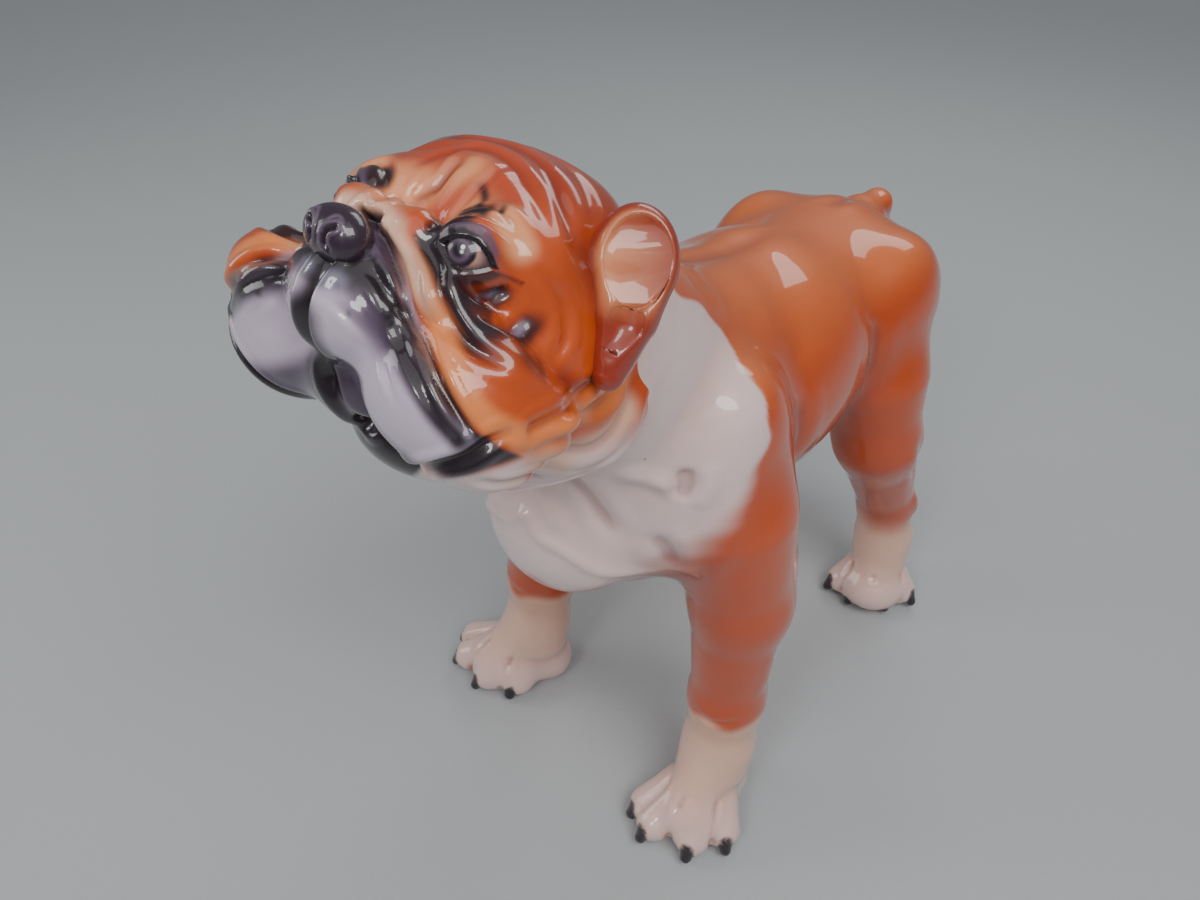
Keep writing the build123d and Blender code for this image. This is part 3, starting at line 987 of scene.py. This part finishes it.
def in_front_of_the_fold(points):
    """1 on the muzzle, in front of the fold that runs over the bridge, and 0 behind it."""
    x = np.abs(points[:, 0])
    ahead = points[:, 1] - np.interp(x, FOLD_X, FOLD_Y)
    ahead += points[:, 2] - np.interp(x, FOLD_X, FOLD_Z)
    below = np.where(points[:, 0] < -16, 28, 6 + 20 * eased(40, 10, points[:, 0]))
    lower = eased(-2.5, 2.5, points[:, 2] - np.interp(x, LIP_X, LIP_Z) + below)
    return eased(1.2, -1.2, ahead) * lower * eased(-92, -100, points[:, 1])


def lid_shade(points, colour):
    """A band of dusky violet on each upper lid, over the black line, and a black band under the eye."""
    for side, centre in EYES.items():
        axes = lid_axes(side)
        close = np.linalg.norm(points - np.array(centre, float), axis=1) < 22
        p = (points[close] - np.array(centre, float)) @ np.array(axes).T
        edge = lid_edge(p[:, 0], p[:, 1])
        upper = eased(0, 1.5, p[:, 1]) * (1 - eased(4.2, 6.2, edge)) * (p[:, 2] > 0)
        upper *= 1 - eased(8, 13, np.abs(p[:, 0]))
        colour[close] += (np.array(DUSK) - colour[close]) * (0.9 * upper)[:, None]
        lower = eased(0, -1.5, p[:, 1]) * (1 - eased(3.6, 6.5, edge)) * (p[:, 2] > 0)
        colour[close] += (np.array(BLACK) - colour[close]) * (0.9 * lower)[:, None]
    return colour


def head_tint(points, out, field):
    """The head's colour: brown-red crown, orange cheeks, pale folds, and a black and lilac muzzle, with
    rust-red painted shade down in the hollows between folds.
    """
    deep = hollowness(points, out, field, 7.0)
    colour = np.tile(np.array(ORANGE), (len(points), 1))
    # Painted shade: a little rust-red everywhere, and more down in the head's folds.
    washed(colour, RUST, np.clip(0.1 + 0.9 * deep, 0, 0.9))
    colour = airbrushed(colour, points, field, HEAD_SPRAYS)
    colour = lid_shade(points, colour)
    muzzle = np.tile(np.array(DUSK), (len(points), 1))
    muzzle = airbrushed(muzzle, points, field, MUZZLE_SPRAYS)
    right = points[:, 0] < 0
    above = points[:, 2] - np.interp(np.abs(points[:, 0]), LIP_X, LIP_Z)
    lip = eased(3.5, -1.5, above + np.where(right, 4, 0))
    lip = np.maximum(lip, eased(-66, -72, points[:, 0] + 0.12 * (points[:, 2] - 440)))
    washed(muzzle, BLACK, 0.96 * lip)
    return colour + (muzzle - colour) * in_front_of_the_fold(points)[:, None]


# Glazes.

class Wire:
    """A shader socket, or a number, that Python's sums work on."""

    def __init__(self, kiln, socket):
        self.kiln = kiln
        self.socket = socket

    def sum(self, operation, *terms, clamp=False):
        values = {i: term for i, term in enumerate(terms)}
        made = self.kiln.node("ShaderNodeMath", {"operation": operation, "use_clamp": clamp}, values)
        return Wire(self.kiln, made.outputs[0])

    def __add__(self, other):
        return self.sum("ADD", self, other)

    __radd__ = __add__

    def __sub__(self, other):
        return self.sum("SUBTRACT", self, other)

    def __rsub__(self, other):
        return self.sum("SUBTRACT", other, self)

    def __mul__(self, other):
        return self.sum("MULTIPLY", self, other)

    __rmul__ = __mul__

    def __pow__(self, other):
        return self.sum("POWER", self, other)

    def held(self):
        """This, kept between 0 and 1."""
        return self.sum("ADD", self, 0.0, clamp=True)

    def step(self, low, high):
        """A soft step from 0 at low to 1 at high."""
        settings = {"interpolation_type": "SMOOTHSTEP"}
        values = {"Value": self, "From Min": low, "From Max": high, "To Min": 0.0, "To Max": 1.0}
        made = self.kiln.node("ShaderNodeMapRange", settings, values)
        return Wire(self.kiln, made.outputs["Result"])


class Kiln:
    """A material being mixed."""

    def __init__(self, name):
        self.material = bpy.data.materials.new(name)
        self.material.use_nodes = True
        self.tree = self.material.node_tree
        self.tree.nodes.clear()

    def node(self, kind, settings=None, values=None):
        """A node with its settings made first, then its sockets' values or links."""
        made = self.tree.nodes.new(kind)
        for key, value in (settings or {}).items():
            setattr(made, key, value)
        for key, value in (values or {}).items():
            socket = made.inputs[key]
            if isinstance(value, Wire):
                self.tree.links.new(value.socket, socket)
            elif isinstance(value, bpy.types.NodeSocket):
                self.tree.links.new(value, socket)
            else:
                socket.default_value = value
        return made

    def wire(self, socket):
        return Wire(self, socket)

    def noise(self, place, scale, detail=2.0, rough=0.5):
        made = self.node("ShaderNodeTexNoise", {}, {"Vector": place, "Scale": scale, "Detail": detail,
                                                    "Roughness": rough})
        return self.wire(made.outputs["Fac"])

    def mix(self, factor, first, second, way="MIX"):
        """One colour over another."""
        settings = {"data_type": "RGBA", "blend_type": way, "clamp_result": True}
        made = self.node("ShaderNodeMix", settings)
        for key, value in (("Factor_Float", factor), ("A_Color", first), ("B_Color", second)):
            socket = next(s for s in made.inputs if s.identifier == key)
            if isinstance(value, Wire):
                self.tree.links.new(value.socket, socket)
            elif isinstance(value, bpy.types.NodeSocket):
                self.tree.links.new(value, socket)
            else:
                socket.default_value = value
        return next(s for s in made.outputs if s.identifier == "Result_Color")

    def finish(self, colour, rough, bump, distance, coat=1.0, coat_rough=0.035):
        """The glazed surface, and the material's output."""
        bumped = self.node("ShaderNodeBump", {}, {"Strength": 1.0, "Distance": distance, "Height": bump})
        values = {"Base Color": colour, "Roughness": rough, "Normal": bumped.outputs["Normal"],
                  "Coat Weight": coat, "Coat Roughness": coat_rough, "Coat IOR": 1.5,
                  "Specular IOR Level": 0.35}
        surface = self.node("ShaderNodeBsdfPrincipled", {}, values)
        self.node("ShaderNodeOutputMaterial", {}, {"Surface": surface.outputs["BSDF"]})
        return self.material


def clay_glaze(name, black, wave=1.0):
    """Airbrushed colour under a clear glaze, with black marks, painted shade in pressed grooves, brush
    streaks, ripples and pinholes.
    """
    kiln = Kiln(name)
    place = kiln.node("ShaderNodeTexCoord").outputs["Object"]
    tint = kiln.node("ShaderNodeAttribute", {"attribute_name": "tint"}).outputs["Color"]
    marks = kiln.node("ShaderNodeAttribute", {"attribute_name": "marks"}).outputs["Color"]
    parts = kiln.node("ShaderNodeSeparateColor", {}, {"Color": marks})
    ink = kiln.wire(parts.outputs["Red"])
    fold = kiln.wire(parts.outputs["Green"])

    drawn = kiln.node("ShaderNodeMapping", {}, {"Vector": place, "Scale": (1.0, 0.35, 1.6),
                                                "Rotation": (0.5, 0.2, 0.0)}).outputs["Vector"]
    streaks = kiln.noise(drawn, 95.0, 3.0, 0.6)
    cloud = kiln.noise(place, 16.0, 2.0)
    grain = kiln.noise(place, 900.0, 2.0, 0.7)
    light = 0.90 + streaks * 0.12 + cloud * 0.14 + grain * 0.04
    channels = {"Red": light * 0.94, "Green": light * 0.93, "Blue": light * 0.92}
    lit = kiln.node("ShaderNodeCombineColor", {}, channels)
    colour = kiln.mix(1.0, tint, lit.outputs["Color"], "MULTIPLY")

    # Painted shade: pressed grooves are darkened towards a deep red-brown, more the deeper they are.
    groove_shade = fold.step(0.15, 0.9) * 0.35
    colour = kiln.mix(groove_shade, colour, (0.30, 0.09, 0.04, 1.0), "MULTIPLY")

    ragged = ink + (kiln.noise(place, 420.0, 2.0) - 0.5) * 1.1
    blackness = 1.0 - ragged.step(-0.55, 0.75)
    colour = kiln.mix(blackness, colour, (*black, 1.0))

    cells = kiln.node("ShaderNodeTexVoronoi", {"feature": "F1"}, {"Vector": place, "Scale": 62.0,
                                                                 "Randomness": 1.0})
    dot = kiln.wire(cells.outputs["Distance"])
    picked = kiln.node("ShaderNodeSeparateColor", {}, {"Color": cells.outputs["Color"]})
    chosen = kiln.wire(picked.outputs["Red"])
    hole = (1.0 - dot.step(0.018, 0.04)) * chosen.step(0.90, 0.92)
    colour = kiln.mix(hole * 0.85, colour, (0.05, 0.02, 0.015, 1.0))

    rough = (0.30 + streaks * 0.14 + hole * 0.4).held()
    ripple = kiln.noise(place, 34.0, 1.0)
    peel = kiln.noise(place, 260.0, 2.0)
    height = ripple * (0.5 * wave) + peel * 0.06 + grain * 0.012 - hole * 0.5
    return kiln.finish(colour, rough, height, 0.0009)


def painted_eye(name, black):
    """A painted eye under glaze: dark rings in a grey-violet iris, one white fleck that is a painted
    highlight, and painted shade on the white of the eye near the lids.
    """
    kiln = Kiln(name)
    place = kiln.node("ShaderNodeTexCoord").outputs["Object"]
    looking = kiln.node("ShaderNodeAttribute", {"attribute_name": "looking"}).outputs["Color"]
    parts = kiln.node("ShaderNodeSeparateColor", {}, {"Color": looking})
    along = kiln.wire(parts.outputs["Red"])
    up = kiln.wire(parts.outputs["Green"])
    smear = (kiln.noise(place, 300.0, 2.0) - 0.5) * 0.7
    ring = (along * along + up * up) ** 0.5 + smear

    iris = kiln.mix(ring.step(1.2, 3.6), (*shade(36, 26, 36), 1.0), (*shade(98, 80, 98), 1.0))
    iris = kiln.mix(ring.step(3.4, 4.4), iris, (*shade(62, 46, 62), 1.0))
    # Painted shade: the white of the eye is darker where it turns away under the lids.
    white = kiln.mix(kiln.wire(parts.outputs["Blue"]).step(0.2, 1.0), (*shade(150, 106, 94), 1.0),
                     (*shade(176, 136, 124), 1.0))
    colour = kiln.mix(ring.step(5.0, 6.2), iris, white)
    rim = ring.step(4.3, 5.0) * (1.0 - ring.step(5.4, 6.4))
    colour = kiln.mix(rim * 0.85, colour, (*black, 1.0))
    # Painted shade: a dark band on the white of the eye near the lids all round.
    lid_shadow = (along * along * 0.30 + up * up) ** 0.5
    colour = kiln.mix((lid_shadow + smear).step(3.4, 5.6) * 0.85, colour, (*shade(66, 48, 56), 1.0))
    # Painted highlight: the white fleck on the iris.
    fleck = ((along - 0.9) * (along - 0.9) + (up - 1.5) * (up - 1.5)) ** 0.5
    colour = kiln.mix(1.0 - fleck.step(0.55, 0.95), colour, (0.92, 0.92, 0.95, 1.0))
    height = kiln.noise(place, 120.0, 1.0) * 0.4
    return kiln.finish(colour, 0.22 + smear * 0.05, height, 0.0004)


def studio_paper(name, colour):
    """Plain pale paper, with a faint tooth."""
    kiln = Kiln(name)
    place = kiln.node("ShaderNodeTexCoord").outputs["Object"]
    tooth = kiln.noise(place, 300.0, 2.0)
    shades = kiln.mix(tooth, (*[c * 0.98 for c in colour], 1.0), (*[c * 1.02 for c in colour], 1.0))
    return kiln.finish(shades, 0.9 + tooth * 0.05, tooth, 0.0002, coat=0.0)


# Finishing a piece.

def coloured(mesh, name, values):
    """Four numbers at every point of a mesh, for its glaze to read."""
    layer = mesh.attributes.new(name, "FLOAT_COLOR", "POINT")
    full = np.ones((len(mesh.vertices), 4), np.float32)
    full[:, :values.shape[1]] = values
    layer.data.foreach_set("color", full.ravel())


def placed(mesh, node, glaze):
    """Make a worked mesh a piece of the model: smooth, glazed, in metres, and standing for its CAD node."""
    put_places(mesh, metres(places_of(mesh)))
    mesh.polygons.foreach_set("use_smooth", [True] * len(mesh.polygons))
    mesh.materials.clear()
    mesh.materials.append(glaze)
    piece = bpy.data.objects.new("glazed_" + node, mesh)
    bpy.context.scene.collection.objects.link(piece)
    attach(piece, "root")
    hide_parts(node)
    return piece


def finished(mesh, node, glaze, field, tint, strokes, ink, last=None):
    """Press the lines into a part, spray its colour, and place it."""
    points = places_of(mesh)
    out, _ = leaning(field, points)
    rise = relief(points, field, strokes)
    deep = np.clip(-rise / 2.5, 0, 1)
    colour = np.clip(tint(points, out, field), 0, 1)
    edge = ink(points)
    coloured(mesh, "tint", colour)
    # The second mark is how deep each pressed groove is; the glaze lays painted shade by it.
    coloured(mesh, "marks", np.stack([edge, deep], axis=1))
    moved = points + out * rise[:, None]
    moved[:, 2] = np.maximum(moved[:, 2], 0.0)
    if last:
        moved = last(moved)
    put_places(mesh, moved)
    return placed(mesh, node, glaze)


# The add-on: sizes and colours to change, one operator for each group of pieces, and a panel.

class DogClay(bpy.types.PropertyGroup):
    body_grain: bpy.props.FloatProperty(
        name="Body grain", description="Spacing of the body's mesh, in millimetres",
        default=2.1, min=1.2, max=8.0)
    head_grain: bpy.props.FloatProperty(
        name="Head grain", description="Spacing of the head's mesh, in millimetres",
        default=1.0, min=0.6, max=4.0)
    ear_grain: bpy.props.FloatProperty(
        name="Ear grain", description="Spacing of the ears' mesh, in millimetres",
        default=0.8, min=0.5, max=4.0)
    eye_radius: bpy.props.FloatProperty(
        name="Eye radius", description="Radius of an eyeball", unit="LENGTH",
        default=EYE_RADIUS / 1000, min=0.005, max=0.02)


class DogPaint(bpy.types.PropertyGroup):
    black: bpy.props.FloatVectorProperty(
        name="Black", description="Colour of the claws, lids and brow lines", subtype="COLOR",
        size=3, default=shade(30, 18, 26), min=0.0, max=1.0)
    ripples: bpy.props.FloatProperty(
        name="Ripples", description="How much the glaze ripples", subtype="FACTOR",
        default=1.0, min=0.0, max=2.0)


class DogStudio(bpy.types.PropertyGroup):
    paper: bpy.props.FloatVectorProperty(
        name="Paper", description="Colour of the studio's paper", subtype="COLOR",
        size=3, default=shade(176, 180, 182), min=0.0, max=1.0)
    key: bpy.props.FloatProperty(
        name="Key light", description="Power of the large light over the dog's left",
        unit="POWER", default=12.0, min=0.0)
    fill: bpy.props.FloatProperty(
        name="Fill light", description="Power of the light from the dog's right",
        unit="POWER", default=6.0, min=0.0)


KEPT = {}


def glaze_of(scene):
    """The clay glaze, mixed once."""
    if "glaze" not in KEPT:
        paint = scene.dog_paint
        KEPT["glaze"] = clay_glaze("clear_glaze_over_colour", paint.black, paint.ripples)
    return KEPT["glaze"]


def all_body_lumps():
    """Every lump from the neck down."""
    lumps = trunk_lumps() + tail_lumps()
    for name in LEGS:
        lumps += leg_lumps(name)
    return lumps


def torso_share(points):
    """Less than nothing where the trunk is nearer than the legs, the tail and the head."""
    legs = [united(points, leg_lumps(name)) for name in LEGS]
    ends = np.minimum(united(points, tail_lumps()), head_field(points))
    return trunk_field(points) - np.minimum(np.minimum.reduce(legs), ends)


def leg_share(points, name):
    """Less than nothing on one leg, which keeps to its own side of the middle plane."""
    side = LEGS[name][0]
    own = united(points, leg_lumps(name))
    near = np.maximum(own - trunk_field(points), -MOST_SHARE)
    return np.maximum(near, LEG_CLEARANCE - side * points[:, 0])


def tail_share(points):
    """Less than nothing on the tail."""
    return united(points, tail_lumps()) - trunk_field(points)


def head_share(points):
    """Less than nothing on the head."""
    return head_field(points) - trunk_field(points)


class DOG_OT_body(bpy.types.Operator):
    """Sculpt the trunk, the tail and the four legs as one form, and part them"""
    bl_idname = "dog.body"
    bl_label = "Trunk, tail and legs"

    def execute(self, context):
        scene = context.scene
        sizes = scene.dog_clay
        grain = sizes.body_grain * 1.0
        whole = drawn_over("body", all_body_lumps() + skull_lumps()[:2], dog_field, grain)
        strokes = BODY_RELIEF + paw_relief()
        glaze = glaze_of(scene)

        torso = parted(whole, "torso", torso_share)
        finished(torso, "torso", glaze, dog_field, body_tint, strokes, claw_ink)
        for name in LEGS:
            leg = parted(whole, name, lambda points, name=name: leg_share(points, name))
            finished(leg, name, glaze, dog_field, body_tint, strokes, claw_ink)
        tail = parted(whole, "tail", tail_share)
        finished(tail, "tail", glaze, dog_field, body_tint, [], claw_ink)
        bpy.data.meshes.remove(whole)
        return {"FINISHED"}


class DOG_OT_head(bpy.types.Operator):
    """Sculpt the head, press in its folds and lines, and paint it"""
    bl_idname = "dog.head"
    bl_label = "Head"

    def execute(self, context):
        scene = context.scene
        lumps = skull_lumps() + muzzle_lumps() + [trunk_lumps()[3]]
        for centre in EYES.values():
            lumps.append((egg, dict(centre=centre, radii=(13, 13, 13)), 3))
        grain = scene.dog_clay.head_grain * 1.0
        whole = drawn_over("head", lumps, dog_field, grain)

        head = parted(whole, "head", head_share)
        strokes = HEAD_RELIEF + LID_RELIEF
        finished(head, "head", glaze_of(scene), dog_field, head_tint, strokes, lid_ink, opened_lids)
        bpy.data.meshes.remove(whole)
        return {"FINISHED"}


class DOG_OT_ears(bpy.types.Operator):
    """Sculpt the two cupped ears"""
    bl_idname = "dog.ears"
    bl_label = "Ears"

    def execute(self, context):
        scene = context.scene
        for side, node in ((1, "left_ear"), (-1, "right_ear")):
            field = ear_field(side)
            across, up, out = ear_axes(side)
            middle_place = ear_bowl(side)
            block = [(egg, dict(centre=tuple(middle_place - up * 14), radii=(34, 34, 46)), 1)]
            mesh = drawn_over(node, block, field, scene.dog_clay.ear_grain, rounds=14)

            def tint(points, lean, _field, middle_place=middle_place, across=across, up=up, out=out):
                p = points - middle_place
                a, u, o = p @ across, p @ up, p @ out
                colour = np.tile(np.array(BROWN), (len(points), 1))
                inside = eased(-0.1, 0.5, lean @ out)
                washed(colour, shade(156, 56, 34), inside)
                pink = inside * (1 - eased(5, 12, np.sqrt((a / 0.9) ** 2 + ((u + 2) / 1.2) ** 2)))
                washed(colour, shade(206, 106, 88), 0.8 * pink)
                rim = eased(4.5, 8.5, o) * eased(-26, -10, u)
                washed(colour, shade(232, 146, 96), 0.9 * rim)
                low = eased(-18, -34, u)
                washed(colour, shade(150, 52, 36), 0.75 * low)
                rear = eased(0.1, -0.6, lean @ out)
                washed(colour, ORANGE, 0.7 * rear)
                return colour

            finished(mesh, node, glaze_of(scene), field, tint, [], no_ink)
        return {"FINISHED"}


class DOG_OT_nose(bpy.types.Operator):
    """Sculpt the nose pad, with its comma nostrils"""
    bl_idname = "dog.nose"
    bl_label = "Nose"

    def execute(self, context):
        scene = context.scene
        block = [(egg, dict(centre=(0, -113, 487), radii=(22, 16, 17)), 1)]
        mesh = drawn_over("nose", block, nose_field, NOSE_GRAIN, rounds=8)
        strokes = [
            ([(5, -121, 494), (2.2, -122, 492), (1.8, -123, 488), (4.5, -123, 485)],
             1.0, -1.3, (0, 1), LEFT),
            ([(-9, -121, 494), (-6.2, -122, 492), (-5.8, -123, 488), (-8.5, -123, 485)],
             1.0, -1.3, (0, 1), LEFT),
            ([(8, -121, 488), (7.5, -119, 494), (3, -118, 497), (0, -121, 492), (0, -124, 484)],
             0.7, 0.4, (1, 1), LEFT),
            ([(-12, -121, 488), (-11.5, -119, 494), (-7, -118, 497), (-4, -121, 492), (-4, -124, 484)],
             0.7, 0.4, (1, 1), LEFT),
        ]

        def tint(points, lean, field):
            rise = relief(points, field, strokes)
            colour = np.tile(np.array(shade(52, 38, 52)), (len(points), 1))
            washed(colour, BLACK, np.clip(-rise / 0.8, 0, 1))
            washed(colour, shade(104, 88, 108), np.clip(rise / 0.35, 0, 0.8))
            return colour

        piece = finished(mesh, "nose", glaze_of(scene), nose_field, tint, strokes, no_ink)
        return {"FINISHED"}


class DOG_OT_eyes(bpy.types.Operator):
    """Set and paint the two eyes"""
    bl_idname = "dog.eyes"
    bl_label = "Eyes"

    def execute(self, context):
        scene = context.scene
        glaze = painted_eye("painted_eye", scene.dog_paint.black)
        radius = scene.dog_clay.eye_radius * 1000
        for side, node in ((1, "left_eye"), (-1, "right_eye")):
            centre = np.array(EYES[side], float)
            axes = lid_axes(side)
            bm = bmesh.new()
            place = Matrix.Translation(centre) @ Matrix.Scale(radius, 4)
            bmesh.ops.create_icosphere(bm, subdivisions=6, radius=1, matrix=place)
            mesh = bpy.data.meshes.new(node)
            bm.to_mesh(mesh)
            bm.free()
            points = places_of(mesh)
            p = (points - centre) @ np.array(axes).T
            # The gaze is a little nearer the nose than the lids are.
            looking = np.stack([p[:, 0] + 2.4, p[:, 1] - 0.6, p[:, 2] / radius], axis=1)
            swell = 0.5 * np.exp(-((looking[:, 0] ** 2 + looking[:, 1] ** 2) / 34.0)) * (p[:, 2] > 0)
            put_places(mesh, centre + (points - centre) * (1 + swell / radius)[:, None])
            coloured(mesh, "looking", looking)
            placed(mesh, node, glaze)
        return {"FINISHED"}


class DOG_OT_stage(bpy.types.Operator):
    """Lay the paper floor, light it softly and set the camera"""
    bl_idname = "dog.stage"
    bl_label = "Stage"

    def execute(self, context):
        scene = context.scene
        studio = scene.dog_studio
        bm = bmesh.new()
        just_below = Matrix.Translation((0, 0, -0.0004))
        bmesh.ops.create_grid(bm, x_segments=2, y_segments=2, size=4.0, matrix=just_below)
        mesh = bpy.data.meshes.new("paper_floor")
        bm.to_mesh(mesh)
        bm.free()
        mesh.materials.append(studio_paper("studio_paper", studio.paper))
        floor = bpy.data.objects.new("paper_floor", mesh)
        scene.collection.objects.link(floor)

        world = bpy.data.worlds.new("soft_studio")
        world.use_nodes = True
        world.node_tree.nodes["Background"].inputs["Color"].default_value = (0.86, 0.88, 0.92, 1)
        world.node_tree.nodes["Background"].inputs["Strength"].default_value = 0.16
        scene.world = world

        for name, power, size, start, aim in (
            ("key_light", studio.key, (0.9, 0.7), (0.9, -0.35, 1.55), (0.0, 0.0, 0.3)),
            ("fill_light", studio.fill, (0.7, 1.0), (-1.3, -0.9, 0.9), (0.0, -0.1, 0.35)),
            ("window_light", studio.fill * 0.8, (0.35, 0.35), (0.25, -1.35, 1.35), (0.0, -0.1, 0.4)),
            ("back_light", studio.fill * 0.9, (1.2, 0.5), (-0.2, 1.2, 1.3), (0.0, 0.1, 0.3)),
        ):
            lamp = bpy.data.lights.new(name, "AREA")
            lamp.shape = "RECTANGLE"
            lamp.size, lamp.size_y = size
            lamp.energy = power
            light = bpy.data.objects.new(name, lamp)
            light.location = start
            light.rotation_euler = (Vector(aim) - Vector(start)).to_track_quat("-Z", "Y").to_euler()
            scene.collection.objects.link(light)

        sky = bpy.data.lights.new("sky_light", "SUN")
        sky.energy = 0.9
        sky.angle = 1.4
        overhead = bpy.data.objects.new("sky_light", sky)
        overhead.rotation_euler = (0.35, 0.25, 0.0)
        scene.collection.objects.link(overhead)

        lens = bpy.data.cameras.new("camera")
        lens.lens = 27.03
        lens.sensor_width = 36.0
        lens.clip_start = 0.01
        camera = bpy.data.objects.new("camera", lens)
        camera.location = metres((251.6, -277.0, 630.0))
        camera.rotation_euler = (math.radians(50), 0.0, math.radians(40))
        scene.collection.objects.link(camera)
        scene.camera = camera
        return {"FINISHED"}


class DOG_PT_panel(bpy.types.Panel):
    """The dog's sizes, its colours and its steps"""
    bl_idname = "DOG_PT_panel"
    bl_label = "Ceramic Dog"
    bl_space_type = "VIEW_3D"
    bl_region_type = "UI"
    bl_category = "Ceramic Dog"

    def draw(self, context):
        scene = context.scene
        for group in (scene.dog_clay, scene.dog_paint, scene.dog_studio):
            box = self.layout.box()
            for key in group.bl_rna.properties.keys():
                if key not in {"rna_type", "name"}:
                    box.prop(group, key)
        for step in STEPS:
            self.layout.operator(step)


STEPS = ("dog.body", "dog.head", "dog.ears", "dog.nose", "dog.eyes", "dog.stage")
CLASSES = (DogClay, DogPaint, DogStudio, DOG_OT_body, DOG_OT_head, DOG_OT_ears, DOG_OT_nose, DOG_OT_eyes,
           DOG_OT_stage, DOG_PT_panel)


def register():
    for item in CLASSES:
        bpy.utils.register_class(item)
    bpy.types.Scene.dog_clay = bpy.props.PointerProperty(type=DogClay)
    bpy.types.Scene.dog_paint = bpy.props.PointerProperty(type=DogPaint)
    bpy.types.Scene.dog_studio = bpy.props.PointerProperty(type=DogStudio)


def unregister():
    del bpy.types.Scene.dog_clay
    del bpy.types.Scene.dog_paint
    del bpy.types.Scene.dog_studio
    for item in reversed(CLASSES):
        bpy.utils.unregister_class(item)


def main():
    register()
    bpy.ops.dog.body()
    bpy.ops.dog.head()
    bpy.ops.dog.ears()
    bpy.ops.dog.nose()
    bpy.ops.dog.eyes()
    bpy.ops.dog.stage()


if __name__ == "__main__":
    main()
